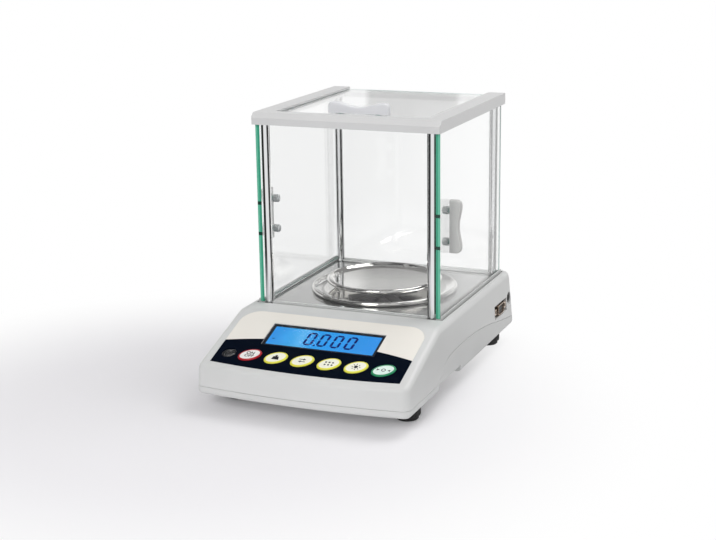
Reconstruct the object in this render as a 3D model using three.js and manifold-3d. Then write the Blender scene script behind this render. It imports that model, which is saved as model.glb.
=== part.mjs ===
// Precision balance under a glass draft shield.
// Millimetres, +Z up, +X to the right of the person at the keys, who sits on the -Y side.
// The origin is on the table, under the middle of the base.
import * as THREE from 'three';
import { mergeVertices, toCreasedNormals } from 'three/addons/utils/BufferGeometryUtils.js';
import Module from 'manifold-3d';

const wasm = await Module();
wasm.setup();

// Clearances and cuts
const fit = 0.3;
const overrun = 5;
const mergeReach = 0.0001;
const creaseAngle = THREE.MathUtils.degToRad(32);

// Casing: one outer form, split along a seam into the housing and the tray
const casingLength = 262.5;
const casingWidth = 169.6;
const casingBottom = 13.3;
const casingTop = 60;
const frontEdgeHeight = 33;
const panelSlope = THREE.MathUtils.degToRad(19.3);
const casingWall = 2.5;
const deckThickness = 2.5;
const casingFloor = 2.5;
const sideLean = 2.2;
const frontLean = 1.2;
const rearLean = 6;
const frontBow = 5.6;
const frontCornerRadius = 6;
const rearCornerRadius = 6;
const shoulderRadius = 4.5;
const bottomEdgeRadius = 3;
const frontEdgeRadius = 4;
const crestRadius = 20;
const rearEdgeRadius = 5;
const leastRadius = 0.6;
const bottomEdgeSteps = 2;
const frontEdgeSteps = 3;
const crestSteps = 2;
const rearEdgeSteps = 3;
const seamHeight = 19;
const seamArchRise = 15.5;
const fingerRecessDepth = 5.5;
const fingerRecessHeight = 5.7;
const fingerRecessLength = 50;
const fingerRecessShare = 0.36;

// Joining screws of the casing
const coverScrewInset = 24;
const coverScrewSetback = 10;
const coverScrewDiameter = 3.4;
const coverScrewHead = 6.6;
const coverScrewHeadHeight = 2.2;
const coverScrewGrip = 12;
const coverBossDiameter = 10;

// Levelling feet
const footSideInset = 15.8;
const footFrontSetback = 43.85;
const footRearSetback = 25.65;
const footWheelDiameter = 20;
const footWheelHeight = 7.4;
const footPadDiameter = 17;
const footPadHeight = 3.2;
const footStemDiameter = 8;
const footStemLength = 11;
const footBossDiameter = 14;
const footBossHeight = 11;
const footGripCount = 16;
const footGripDepth = 0.6;

// Panel films, in the panel's own frame: across, up the slope from the front edge, and out of the face
const filmSideMargin = 9.8;
const filmBottom = 9.8;
const filmTop = 80;
const filmBow = 3.5;
const filmCornerRadius = 15;
const filmThickness = 0.8;
const keyBandTop = 49.9;
const keyBandBow = 9.7;

// Display
const displayWidth = 88.8;
const displayHeight = 24.6;
const displayCentre = 53.4;
const lensBorder = 1.3;
const lcdBodyWidth = 96;
const lcdBodyHeight = 33;
const lcdFaceSetback = 1.4;

// Keys
const keyRow = 25.2;
const keyCount = 6;
const keyGap = 3.1;
const keyRowLeftInset = 18.1;
const keyRowRightInset = 7.2;
const keyHeight = 13;
const keyTurn = 28;
const keyProud = 0.7;
const keyTravel = 0.5;
const keyFlange = 1.1;
const keyFlangeThickness = 1;
const keyStemDiameter = 4.5;
const switchSide = 6;
const switchHeight = 1.8;
const switchButtonDiameter = 3.4;
const switchButtonHeight = 0.4;

// Bubble level
const levelInset = 9.9;
const levelDiameter = 10.6;
const levelCupWall = 0.8;
const levelCupDepth = 5.4;
const levelWellDepth = 3;
const levelFlange = 1.3;
const levelLensProud = 0.4;

// Board under the panel, held on pegs of the housing
const boardThickness = 1.6;
const boardDepth = 11.2;
const displayBoardSideMargin = 13.8;
const displayBoardBottom = 14;
const displayBoardTop = 74;
const pegInset = 5;
const pegLow = 39;
const pegHigh = 70;
const pegShoulderDiameter = 6;
const pegDiameter = 2.4;
const pegProud = 1.2;

// Draft shield
const postSideInset = 16.7;
const postFrontSetback = 101.05;
const postRearSetback = 18.25;
const postDiameter = 6.4;
const postSpigotDiameter = 4.6;
const postSocketDiameter = 10;
const postSocketDepth = 10;
const doorGlass = 3.5;
const paneGlass = 3;
const shieldTop = 210.5;
const frameHeight = 9;
const frameOuterWall = 1.1;
const frameFrontReach = 7;
const frameFrontWidth = 13.7;
const frameRearReach = 11.5;
const frameRearWidth = 14.5;
const frameRailWidth = 14.5;
const frameChamferRise = 3.8;
const frameChamferRun = 4.7;
const frameCornerRadius = 2;
const frameGrooveDepth = 2.5;
const paneGrooveDepth = 3;
const paneLip = 1.6;
const sillWidth = 5.4;
const sillHeight = 1.5;
const doorRearReach = 5;
const trackBase = 0.8;
const trackHeight = 3;
const trackWall = 1.2;

// Handles of the doors and of the top pane
const sideHandleLength = 41;
const sideHandleReach = 9;
const sideHandleWaist = 2.2;
const sideHandleSetback = 22.7;
const sideHandleZ = 127.3;
const sideHandleScrewPitch = 24.3;
const sideNutHeight = 5;
const topHandleLength = 50;
const topHandleReach = 8.5;
const topHandleWaist = 3.7;
const topHandleSetback = 21.5;
const topHandleScrewPitch = 31;
const topNutHeight = 2.8;
const handleThickness = 5.5;
const handleScrewDiameter = 3;
const handleNutDiameter = 6.2;
const handleScrewBite = 4;

// Weighing chamber floor and what stands on it
const plateTop = 59;
const plateThickness = 1.2;
const plateSideMargin = 0.7;
const plateFrontReach = 4.4;
const plateRearReach = 9;
const spindleDiameter = 9;
const spindleHole = 14;
const ringSheet = 0.8;
const ringBeadDiameter = 3.4;
const ringCove = 8;
const panSheet = 0.8;
const panDepth = 2.8;
const panBeadDiameter = 3.6;
const panCove = 4;
const panUnderside = 65.9;
const supportArm = 9;
const supportThickness = 1.2;
const studDiameter = 4.2;
const studHeight = 1.7;
const studX = -8;
const studSetback = 5.7;

// Weighing cell, its pedestal and the spindle in its free end
const cellRearSetback = 17.85;
const cellWidth = 26;
const cellHeight = 22;
const cellBottom = 23;
const cellSpindleInset = 12;
const cellBoreDiameter = 12;
const cellBorePitch = 22;
const cellSlot = 2.5;
const pedestalLength = 28;
const pedestalWidth = 40;
const cellBoltDiameter = 5.4;
const cellBoltHead = 9;
const cellBoltHeadHeight = 3.6;
const cellBoltPitch = 15;
const spindleFlange = 16;
const spindleFlangeThickness = 3;
const spindleThread = 6;
const spindleThreadLength = 9;
const stageGap = 0.5;

// Main board and connectors
const mainBoardCellGap = 6;
const mainBoardSideGap = 18.8;
const mainBoardLength = 104;
const mainBoardRearSetback = 43.25;
const mainBoardStandoff = 4.5;
const chipSide = 12;
const chipHeight = 2.4;
const relayLength = 18;
const relayHeight = 9;
const serialRearSetback = 36.85;
const serialZ = 34.8;
const serialFlangeLength = 30.8;
const serialFlangeHeight = 12.5;
const serialOpeningHeight = 11;
const serialShellLength = 17;
const serialShellHeight = 8.6;
const serialShellReach = 5.6;
const serialShellSlant = 1.4;
const serialBodyDepth = 8;
const serialScrewPitch = 25;
const serialScrewAcross = 5;
const serialScrewHeight = 4.6;
const serialPinHole = 1.2;
const serialPinPitch = 2.77;
const serialRowPitch = 2.84;
const jackRearSetback = 13.25;
const jackZ = 37.7;
const jackDiameter = 8.6;
const jackBore = 6.2;
const jackPin = 2;
const jackReach = 4.4;
const jackBody = 10;
const wallOpeningMargin = 1;
const bracketThickness = 1.4;
const bracketSetback = 3.4;
const bracketFoot = 9;
const bracketMargin = 1.8;

// Shares of the sizes above, chosen by eye along the side of the base and the handles
const seamArchShares = [
  [0.245, 0], [0.262, 0.1], [0.3, 0.5], [0.34, 0.84], [0.386, 0.95], [0.45, 1],
  [0.572, 0.98], [0.717, 0.755], [0.843, 0.406], [0.969, 0.09], [1, 0],
];
const stationShares = [0, 0.4, 0.75];
const ringShare = 116 / 136.2;
const panShare = 91 / 116;
const supportShare = 58 / 91;
const cornerTurnShares = [0, 0.3, 0.56, 0.8, 1];
const cellBoreCentreShare = 0.46;
const beadCurlShare = 0.82;
const beadStartShare = -0.458;
const coveBendShare = 0.6;
const lensCrownShare = 0.75;
const chipPlaceShares = [[-0.2, -0.3], [0.15, -0.12], [-0.15, 0.12]];
const relayPlaceShare = 0.36;

// Places that follow from the sizes
const frontY = -casingLength / 2;
const rearY = casingLength / 2;
const halfWidth = casingWidth / 2;
const footX = halfWidth - footSideInset;
const footFrontY = frontY + footFrontSetback;
const footRearY = rearY - footRearSetback;
const postX = halfWidth - postSideInset;
const postFrontY = frontY + postFrontSetback;
const postRearY = rearY - postRearSetback;
const chamberCentreY = (postFrontY + postRearY) / 2;
const doorInnerX = postX + postDiameter / 2 + fit;
const doorOuterX = doorInnerX + doorGlass;
const frameHalfWidth = doorOuterX + fit + frameOuterWall;
const frameBottom = shieldTop - frameHeight;
const frameFrontY = postFrontY - frameFrontReach;
const frameBackY = postRearY + frameRearReach;
const plateHalfWidth = frameHalfWidth + plateSideMargin;
const plateFrontY = postFrontY - plateFrontReach;
const plateRearY = postRearY + plateRearReach;
const plateBottom = plateTop - plateThickness;
const pocketFloor = plateBottom - fit;
const deckUnderside = pocketFloor - deckThickness;
const floorTop = casingBottom + casingFloor;
const trackBottom = plateTop + fit;
const paneTop = shieldTop - paneLip - fit;
const paneBottom = paneTop - paneGlass;
const doorBottom = trackBottom + trackBase + fit;
const doorTop = frameBottom + frameGrooveDepth;
const doorFrontY = postFrontY - frameGrooveDepth;
const doorRearY = postRearY + doorRearReach;
const openingHalf = frameHalfWidth - frameRailWidth;
const openingFrontY = frameFrontY + frameFrontWidth;
const openingRearY = frameBackY - frameRearWidth;
const paneHalf = openingHalf + paneGrooveDepth;
const paneFrontY = openingFrontY - paneGrooveDepth;
const sideHandleY = doorFrontY + sideHandleSetback;
const topHandleY = paneFrontY + topHandleSetback;
const ringDiameter = ringShare * Math.min(2 * postX, postRearY - postFrontY);
const panDiameter = panShare * ringDiameter;
const supportDiameter = supportShare * panDiameter;
const studY = postFrontY + studSetback;
const cellTop = cellBottom + cellHeight;
const cellFrontY = chamberCentreY - cellSpindleInset;
const cellRearY = rearY - cellRearSetback;
const cellLength = cellRearY - cellFrontY;
const pedestalFrontY = cellRearY - pedestalLength;
const supportBottom = panUnderside - fit - supportThickness;
const spindleTop = supportBottom - fit;
const recessFrontY = frontY + fingerRecessShare * casingLength - fingerRecessLength / 2;
const recessRearY = recessFrontY + fingerRecessLength;
const recessTop = casingBottom + fingerRecessHeight;
const mainBoardLeft = pedestalWidth / 2 + mainBoardCellGap;
const mainBoardRight = halfWidth - mainBoardSideGap;
const mainBoardWidth = mainBoardRight - mainBoardLeft;
const mainBoardX = (mainBoardLeft + mainBoardRight) / 2;
const mainBoardY = rearY - mainBoardRearSetback - mainBoardLength / 2;
const serialY = rearY - serialRearSetback;
const jackY = rearY - jackRearSetback;
const filmHalfWidth = halfWidth - filmSideMargin;
const keyRowLeft = -filmHalfWidth + keyRowLeftInset;
const keyRowRight = filmHalfWidth - keyRowRightInset;
const keyWidth = (keyRowRight - keyRowLeft - (keyCount - 1) * keyGap) / keyCount;
const keyPitch = keyWidth + keyGap;
const firstKeyX = keyRowLeft + keyWidth / 2;
const keyXs = Array.from({ length: keyCount }, (unused, step) => firstKeyX + step * keyPitch);
const levelX = -filmHalfWidth + levelInset;
const displayBoardWidth = casingWidth - 2 * displayBoardSideMargin;
const pegSpanX = displayBoardWidth - 2 * pegInset;
const filmRecess = filmThickness + fit;
const panelWallInside = -casingWall;
const flangeTop = panelWallInside - fit;
const displayBoardFace = -boardDepth;
const switchTop = displayBoardFace + switchHeight + switchButtonHeight;
const wallOuterX = leanedX(halfWidth, serialZ);
const bracketFace = wallOuterX - casingWall - bracketSetback;

// Helpers that turn three.js geometry into solids and solids into meshes
function solid(geometry) {
  const bare = geometry.clone();
  bare.deleteAttribute('normal');
  bare.deleteAttribute('uv');
  const merged = mergeVertices(bare, mergeReach);
  const corners = merged.index.array;
  const kept = [];
  for (let i = 0; i < corners.length; i += 3) {
    const [a, b, c] = [corners[i], corners[i + 1], corners[i + 2]];
    if (a !== b && b !== c && c !== a) {
      kept.push(a, b, c);
    }
  }
  const places = merged.attributes.position;
  const [p, q, r] = [new THREE.Vector3(), new THREE.Vector3(), new THREE.Vector3()];
  let volume = 0;
  for (let i = 0; i < kept.length; i += 3) {
    p.fromBufferAttribute(places, kept[i]);
    q.fromBufferAttribute(places, kept[i + 1]);
    r.fromBufferAttribute(places, kept[i + 2]);
    volume += p.dot(q.cross(r));
  }
  const turned = volume < 0 ? kept.reverse() : kept;
  return new wasm.Manifold(new wasm.Mesh({
    numProp: 3,
    vertProperties: new Float32Array(places.array),
    triVerts: new Uint32Array(turned),
  }));
}

function joined(solids) {
  return solids.reduce((whole, piece) => whole.add(piece));
}

function slab([x0, x1], [y0, y1], [z0, z1]) {
  const box = new THREE.BoxGeometry(x1 - x0, y1 - y0, z1 - z0);
  box.translate((x0 + x1) / 2, (y0 + y1) / 2, (z0 + z1) / 2);
  return box;
}

function rod(diameter, [z0, z1], x, y, sides = 18) {
  const cylinder = new THREE.CylinderGeometry(diameter / 2, diameter / 2, z1 - z0, sides);
  cylinder.rotateX(Math.PI / 2);
  cylinder.translate(x, y, (z0 + z1) / 2);
  return cylinder;
}

function rodAlongX(diameter, [x0, x1], y, z, sides = 16) {
  const cylinder = new THREE.CylinderGeometry(diameter / 2, diameter / 2, x1 - x0, sides);
  cylinder.rotateZ(Math.PI / 2);
  cylinder.translate((x0 + x1) / 2, y, z);
  return cylinder;
}

function turned(outline, x, y, sides) {
  const lathe = new THREE.LatheGeometry(outline.map(([r, z]) => new THREE.Vector2(r, z)), sides);
  lathe.rotateX(Math.PI / 2);
  lathe.translate(x, y, 0);
  return lathe;
}

function prism(shape, [z0, z1], curveSegments = 9) {
  const block = new THREE.ExtrudeGeometry(shape, { depth: z1 - z0, bevelEnabled: false, curveSegments });
  block.translate(0, 0, z0);
  return block;
}

// A shape drawn in Y and Z, run along X
function prismAlongX(shape, [x0, x1], curveSegments = 9) {
  const block = prism(shape, [x0, x1], curveSegments);
  const axes = new THREE.Matrix4().makeBasis(
    new THREE.Vector3(0, 1, 0), new THREE.Vector3(0, 0, 1), new THREE.Vector3(1, 0, 0));
  return block.applyMatrix4(axes);
}

function polygon(points) {
  return new THREE.Shape(points.map(([x, y]) => new THREE.Vector2(x, y)));
}

function keyOval(width, height, x, y) {
  const shape = new THREE.Shape();
  shape.absellipse(
    x, y, width / 2, height / 2, 0, 2 * Math.PI, false, THREE.MathUtils.degToRad(keyTurn));
  return shape;
}

function piece(name, body, colour, roughness, metalness) {
  let geometry = body;
  if (body instanceof wasm.Manifold) {
    const { vertProperties, triVerts } = body.getMesh();
    geometry = new THREE.BufferGeometry();
    geometry.setAttribute('position', new THREE.BufferAttribute(new Float32Array(vertProperties), 3));
    geometry.setIndex(new THREE.BufferAttribute(new Uint32Array(triVerts), 1));
  }
  const mesh = new THREE.Mesh(
    toCreasedNormals(geometry, creaseAngle),
    new THREE.MeshStandardMaterial({ color: colour, roughness, metalness }));
  mesh.name = name;
  return mesh;
}

// Outline corner rounded between its two neighbours
function roundedCorner(before, corner, after, radius, steps) {
  const arriving = corner.clone().sub(before).normalize();
  const leaving = after.clone().sub(corner).normalize();
  const turn = Math.acos(THREE.MathUtils.clamp(arriving.dot(leaving), -1, 1));
  const reach = radius * Math.tan(turn / 2);
  const start = corner.clone().addScaledVector(arriving, -reach);
  const end = corner.clone().addScaledVector(leaving, reach);
  return new THREE.QuadraticBezierCurve(start, corner, end).getPoints(steps);
}

// The side walls lean in as they rise
function leanedX(x, z) {
  const rise = (z - casingBottom) / (casingTop - casingBottom);
  return x * (1 - (sideLean / halfWidth) * rise);
}

// How far a rounded edge has fallen away at a distance from the middle
function edgeFall(reach, half, radius) {
  const along = reach - (half - radius);
  return along <= 0 ? 0 : radius - Math.sqrt(Math.max(radius * radius - along * along, 0));
}

function panelHeight(y) {
  return frontEdgeHeight + (y - frontY) * Math.tan(panelSlope);
}

// The casing's outline in Y and Z at a distance x from the middle
function casingOutline(x, half, inset, deck, floor) {
  const reach = Math.abs(x);
  const roundness = (radius) => Math.max(radius - inset, leastRadius);
  const front = frontY + inset + frontBow * (reach / half) ** 2
    + edgeFall(reach, half, roundness(frontCornerRadius));
  const rear = rearY - inset - edgeFall(reach, half, roundness(rearCornerRadius));
  const fall = edgeFall(reach, half, roundness(shoulderRadius));
  const bottom = casingBottom + floor + edgeFall(reach, half, roundness(bottomEdgeRadius));
  const panelInset = inset / Math.cos(panelSlope);
  const top = casingTop - deck - fall;
  const crestY = frontY + (casingTop - deck + panelInset - frontEdgeHeight) / Math.tan(panelSlope);
  const corners = [
    [front, bottom, bottomEdgeRadius, bottomEdgeSteps],
    [front + frontLean, panelHeight(front + frontLean) - panelInset - fall, frontEdgeRadius, frontEdgeSteps],
    [crestY, top, crestRadius, crestSteps],
    [rear - rearLean, top, rearEdgeRadius, rearEdgeSteps],
    [rear, bottom, bottomEdgeRadius, bottomEdgeSteps],
  ];
  const places = corners.map(([y, z]) => new THREE.Vector2(y, z));
  return corners.flatMap(([, , radius, steps], i) => roundedCorner(
    places[(i + places.length - 1) % places.length], places[i],
    places[(i + 1) % places.length], roundness(radius), steps));
}

// The casing's outer form, or the same form drawn in on every side
function casingForm(inset, deck = inset, floor = inset) {
  const half = halfWidth - inset;
  const radius = Math.max(rearCornerRadius - inset, leastRadius);
  const rounded = cornerTurnShares.map((share) => half - radius + radius * Math.sin(share * Math.PI / 2));
  const right = [...stationShares.map((share) => share * (half - radius)), ...rounded];
  const stations = [...right.slice(1).reverse().map((x) => -x), ...right];
  const rings = stations.map((x) => casingOutline(x, half, inset, deck, floor)
    .map((point) => new THREE.Vector3(leanedX(x, point.y), point.x, point.y)));
  return loft(rings);
}

// A body through rings of points, closed at both ends
function loft(rings) {
  const count = rings[0].length;
  const places = rings.flat().flatMap((point) => [point.x, point.y, point.z]);
  const faces = [];
  for (let ring = 0; ring < rings.length - 1; ring += 1) {
    for (let i = 0; i < count; i += 1) {
      const [a, b] = [ring * count + i, ring * count + (i + 1) % count];
      faces.push(a, b, a + count, b, b + count, a + count);
    }
  }
  const lastRing = (rings.length - 1) * count;
  const flat = rings[0].map((point) => new THREE.Vector2(point.y, point.z));
  for (const [a, b, c] of THREE.ShapeUtils.triangulateShape(flat, [])) {
    const upright = THREE.ShapeUtils.isClockWise(flat);
    faces.push(...(upright ? [a, b, c] : [a, c, b]));
    faces.push(...(upright ? [a, c, b] : [a, b, c]).map((corner) => corner + lastRing));
  }
  const geometry = new THREE.BufferGeometry();
  geometry.setAttribute('position', new THREE.Float32BufferAttribute(places, 3));
  geometry.setIndex(faces);
  return geometry;
}

// Everything below the seam, or below a line a little above it
function belowSeam(lift) {
  const arch = new THREE.SplineCurve(seamArchShares.map(([along, rise]) => new THREE.Vector2(
    frontY + along * casingLength, seamHeight + lift + rise * seamArchRise)));
  const shape = new THREE.Shape();
  shape.moveTo(frontY - overrun, casingBottom - overrun);
  shape.lineTo(rearY + overrun, casingBottom - overrun);
  shape.lineTo(rearY + overrun, seamHeight + lift);
  for (const point of arch.getPoints(2 * seamArchShares.length).reverse()) {
    shape.lineTo(point.x, point.y);
  }
  shape.lineTo(frontY - overrun, seamHeight + lift);
  return solid(prismAlongX(shape, [-halfWidth - overrun, halfWidth + overrun]));
}

// The panel's frame: x across, y up the slope, z out of the face
const panelFrame = new THREE.Matrix4()
  .makeTranslation(0, frontY, frontEdgeHeight)
  .multiply(new THREE.Matrix4().makeRotationX(panelSlope));

function onPanel(geometry) {
  return geometry.clone().applyMatrix4(panelFrame);
}

// Groups for what is drawn in the panel's frame
const balance = new THREE.Group();
const panel = new THREE.Group();
panel.position.set(0, frontY, frontEdgeHeight);
panel.rotation.set(panelSlope, 0, 0);
balance.add(panel);

// Colours
const housingGrey = 0xdadada;
const creamPrint = 0xece6da;
const navyPrint = 0x0a1020;
const steelGrey = 0xc8c9ca;
const glassGreen = 0xdff3ec;
const blackRubber = 0x141414;
const boardGreen = 0x1d5a38;

// The four corners of the casing where its screws stand
const coverScrewPlaces = [
  ['cover_screw_front_left', -halfWidth + coverScrewInset, frontY + coverScrewSetback],
  ['cover_screw_front_right', halfWidth - coverScrewInset, frontY + coverScrewSetback],
  ['cover_screw_rear_left', -halfWidth + coverScrewInset, rearY - coverScrewSetback],
  ['cover_screw_rear_right', halfWidth - coverScrewInset, rearY - coverScrewSetback],
];
const footPlaces = [
  ['foot_front_left', -footX, footFrontY],
  ['foot_front_right', footX, footFrontY],
  ['foot_rear_left', -footX, footRearY],
  ['foot_rear_right', footX, footRearY],
];
const postPlaces = [
  ['post_front_left', -postX, postFrontY],
  ['post_front_right', postX, postFrontY],
  ['post_rear_left', -postX, postRearY],
  ['post_rear_right', postX, postRearY],
];
const mainBoardCorners = [-1, 1].flatMap((sideX) => [-1, 1].map((sideY) => [
  mainBoardX + sideX * (mainBoardWidth - pegShoulderDiameter) / 2,
  mainBoardY + sideY * (mainBoardLength - pegShoulderDiameter) / 2,
]));
const pegPlaces = [-1, 1].flatMap((side) => [pegLow, pegHigh].map((height) => [side * pegSpanX / 2, height]));
const cellBoltYs = [-1, 1].map((side) => cellRearY - pedestalLength / 2 + side * cellBoltPitch / 2);

const outerForm = solid(casingForm(0));
const casingShell = outerForm.subtract(solid(casingForm(
  casingWall, casingTop - deckUnderside, casingFloor)));

// Outline of the printed films
function filmShape(growth) {
  const half = filmHalfWidth + growth;
  const corner = filmCornerRadius + growth;
  const top = filmTop + growth;
  const low = filmBottom + filmBow - growth;
  const shape = new THREE.Shape();
  shape.moveTo(-half, low);
  shape.quadraticCurveTo(0, low - 2 * filmBow, half, low);
  shape.lineTo(half, top - corner);
  shape.absarc(half - corner, top - corner, corner, 0, Math.PI / 2);
  shape.lineTo(-half + corner, top);
  shape.absarc(-half + corner, top - corner, corner, Math.PI / 2, Math.PI);
  return shape;
}

// Region of the navy band under its arched top edge
function keyBandShape(growth) {
  const half = filmHalfWidth + overrun;
  const sag = keyBandBow * (half / filmHalfWidth) ** 2;
  const shape = new THREE.Shape();
  shape.moveTo(-half, -overrun);
  shape.lineTo(half, -overrun);
  shape.lineTo(half, keyBandTop - sag + growth);
  shape.quadraticCurveTo(0, keyBandTop + sag + growth, -half, keyBandTop - sag + growth);
  return shape;
}

function panelBlock(width, height, [z0, z1]) {
  return slab([-width / 2, width / 2], [displayCentre - height / 2, displayCentre + height / 2], [z0, z1]);
}

// Upper housing
const lensWidth = displayWidth + 2 * lensBorder;
const lensHeight = displayHeight + 2 * lensBorder;
const throughPanel = [panelWallInside - overrun, overrun];
const housingCuts = joined([
  belowSeam(fit),
  solid(slab(
    [-plateHalfWidth - fit, plateHalfWidth + fit], [plateFrontY - fit, plateRearY + fit],
    [pocketFloor, casingTop + overrun])),
  solid(rod(spindleHole + 2 * fit, [deckUnderside - overrun, casingTop], 0, chamberCentreY, 32)),
  solid(onPanel(prism(filmShape(fit), [-filmRecess, overrun]))),
  solid(onPanel(panelBlock(displayWidth, displayHeight, throughPanel))),
  ...keyXs.map((x) => solid(onPanel(prism(
    keyOval(keyWidth + 2 * fit, keyHeight + 2 * fit, x, keyRow), throughPanel)))),
  solid(onPanel(rod(levelDiameter + 2 * fit, throughPanel, levelX, keyRow))),
  ...postPlaces.map(([, x, y]) => solid(rod(
    postSpigotDiameter + 2 * fit, [deckUnderside - overrun, casingTop], x, y, 12))),
]);
const serialOpeningHalf = serialFlangeLength / 2 + wallOpeningMargin;
const serialOpening = slab(
  [bracketFace, halfWidth + overrun], [serialY - serialOpeningHalf, serialY + serialOpeningHalf],
  [serialZ - serialOpeningHeight / 2, serialZ + serialOpeningHeight / 2]);
const jackOpening = rodAlongX(
  jackDiameter + 2 * wallOpeningMargin, [bracketFace, halfWidth + overrun], jackY, jackZ);
const housingBosses = joined(coverScrewPlaces.map(([, x, y]) => solid(rod(
  coverBossDiameter, [seamHeight + fit, casingTop], x, y))))
  .intersect(solid(casingForm(casingWall / 2, casingTop - deckUnderside - deckThickness / 2)));
const postSockets = joined(postPlaces.map(([, x, y]) => solid(rod(
  postSocketDiameter, [deckUnderside - postSocketDepth, deckUnderside + deckThickness / 2], x, y))
  .subtract(solid(rod(
    postSpigotDiameter + 2 * fit, [casingBottom, casingTop], x, y, 12)))));
const boardPegs = joined(pegPlaces.map(([x, y]) => solid(onPanel(rod(
  pegShoulderDiameter, [displayBoardFace + fit, panelWallInside + fit], x, y, 12)))
  .add(solid(onPanel(rod(
    pegDiameter, [displayBoardFace - boardThickness - pegProud, panelWallInside], x, y, 12))))));
const upperHousing = casingShell.subtract(housingCuts)
  .add(housingBosses)
  .add(postSockets)
  .add(boardPegs)
  .subtract(solid(serialOpening))
  .subtract(solid(jackOpening))
  .subtract(joined(coverScrewPlaces.map(([, x, y]) => solid(rod(
    coverScrewDiameter + 2 * fit, [casingBottom, seamHeight + coverScrewGrip + fit], x, y, 12)))));
balance.add(piece('upper_housing', upperHousing, housingGrey, 0.45, 0));

// Lower cover
const recessInnerX = halfWidth - fingerRecessDepth;
const recessLining = [-1, 1].map((side) => solid(slab(
  [Math.min(side * (recessInnerX - casingWall), side * halfWidth),
    Math.max(side * (recessInnerX - casingWall), side * halfWidth)],
  [recessFrontY - casingWall, recessRearY + casingWall],
  [casingBottom, recessTop + casingWall])));
const recessHollow = [-1, 1].map((side) => solid(slab(
  [Math.min(side * recessInnerX, side * (halfWidth + overrun)),
    Math.max(side * recessInnerX, side * (halfWidth + overrun))],
  [recessFrontY, recessRearY],
  [casingBottom - overrun, recessTop])));
const pedestalTop = cellBottom - fit;
const boardTop = floorTop + mainBoardStandoff + fit + boardThickness;
const mainBoardPegs = joined(mainBoardCorners.map(([x, y]) => solid(rod(
  pegShoulderDiameter, [casingBottom + casingFloor / 2, floorTop + mainBoardStandoff], x, y, 12))
  .add(solid(rod(pegDiameter, [floorTop, boardTop + pegProud], x, y, 12)))));
const pedestal = solid(slab(
  [-pedestalWidth / 2, pedestalWidth / 2], [pedestalFrontY, cellRearY],
  [casingBottom + casingFloor / 2, pedestalTop]))
  .subtract(joined(cellBoltYs.map((y) => solid(rod(
    cellBoltDiameter + 2 * fit, [floorTop, cellTop], 0, y, 16)))));
const lowerCover = casingShell
  .add(joined(recessLining).intersect(outerForm))
  .intersect(belowSeam(0))
  .add(joined(coverScrewPlaces.map(([, x, y]) => solid(rod(
    coverBossDiameter, [casingBottom + casingFloor / 2, seamHeight], x, y)))))
  .add(joined(footPlaces.map(([, x, y]) => solid(rod(
    footBossDiameter, [casingBottom, casingBottom + footBossHeight], x, y)))))
  .add(mainBoardPegs)
  .add(pedestal)
  .subtract(joined(recessHollow))
  .subtract(joined(footPlaces.map(([, x, y]) => solid(rod(
    footStemDiameter + 2 * fit, [casingBottom - overrun, casingTop], x, y)))))
  .subtract(joined(coverScrewPlaces.map(([, x, y]) => solid(rod(
    coverScrewDiameter + 2 * fit, [casingBottom - overrun, casingTop], x, y, 12)))))
  .subtract(joined(coverScrewPlaces.map(([, x, y]) => solid(rod(
    coverScrewHead + 2 * fit, [casingBottom - overrun, casingBottom + coverScrewHeadHeight + 2 * fit],
    x, y, 20)))));
balance.add(piece('lower_cover', lowerCover, housingGrey, 0.5, 0));

for (const [name, x, y] of coverScrewPlaces) {
  const headTop = casingBottom + fit + coverScrewHeadHeight;
  const screw = solid(rod(coverScrewHead, [casingBottom + fit, headTop], x, y, 20))
    .add(solid(rod(coverScrewDiameter, [headTop - fit, seamHeight + coverScrewGrip], x, y, 12)));
  balance.add(piece(name, screw, steelGrey, 0.35, 0.9));
}

// Levelling feet
function gripOutline() {
  const shape = new THREE.Shape();
  for (let i = 0; i < 2 * footGripCount; i += 1) {
    const radius = footWheelDiameter / 2 - (i % 2 === 0 ? 0 : footGripDepth);
    const angle = (i / footGripCount) * Math.PI;
    const point = [radius * Math.cos(angle), radius * Math.sin(angle)];
    if (i === 0) {
      shape.moveTo(...point);
    } else {
      shape.lineTo(...point);
    }
  }
  return shape;
}

for (const [name, x, y] of footPlaces) {
  const wheelTop = footPadHeight + footWheelHeight;
  const foot = joined([
    solid(rod(footPadDiameter, [0, footPadHeight + fit], 0, 0)),
    solid(prism(gripOutline(), [footPadHeight, wheelTop])),
    solid(rod(footStemDiameter, [wheelTop - fit, wheelTop + footStemLength], 0, 0)),
  ]);
  const mesh = piece(name, foot, blackRubber, 0.7, 0);
  mesh.position.set(x, y, 0);
  balance.add(mesh);
}

// Printed films, display and keys
const film = solid(prism(filmShape(0), [-filmThickness, 0]));
const filmHoles = joined([
  solid(panelBlock(lensWidth + 2 * fit, lensHeight + 2 * fit, throughPanel)),
  ...keyXs.map((x) => solid(prism(
    keyOval(keyWidth + 2 * fit, keyHeight + 2 * fit, x, keyRow), throughPanel))),
  solid(rod(levelDiameter + 2 * fit, throughPanel, levelX, keyRow)),
]);
panel.add(piece(
  'display_overlay',
  film.subtract(solid(prism(keyBandShape(fit), throughPanel))).subtract(filmHoles), creamPrint, 0.5, 0));
panel.add(piece(
  'keypad_overlay',
  film.intersect(solid(prism(keyBandShape(0), throughPanel))).subtract(filmHoles), navyPrint, 0.35, 0));
panel.add(piece('display_lens', panelBlock(lensWidth, lensHeight, [-filmThickness, 0]), 0x9ecbff, 0.08, 0));

const lcdFace = -lcdFaceSetback;
const lcdShoulder = panelWallInside - fit;
const lcdModule = solid(panelBlock(
  displayWidth - 2 * fit, displayHeight - 2 * fit, [lcdShoulder - fit, lcdFace]))
  .add(solid(panelBlock(lcdBodyWidth, lcdBodyHeight, [displayBoardFace + fit, lcdShoulder])));
panel.add(piece('lcd_module', lcdModule, 0x2f9bff, 0.3, 0));

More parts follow.
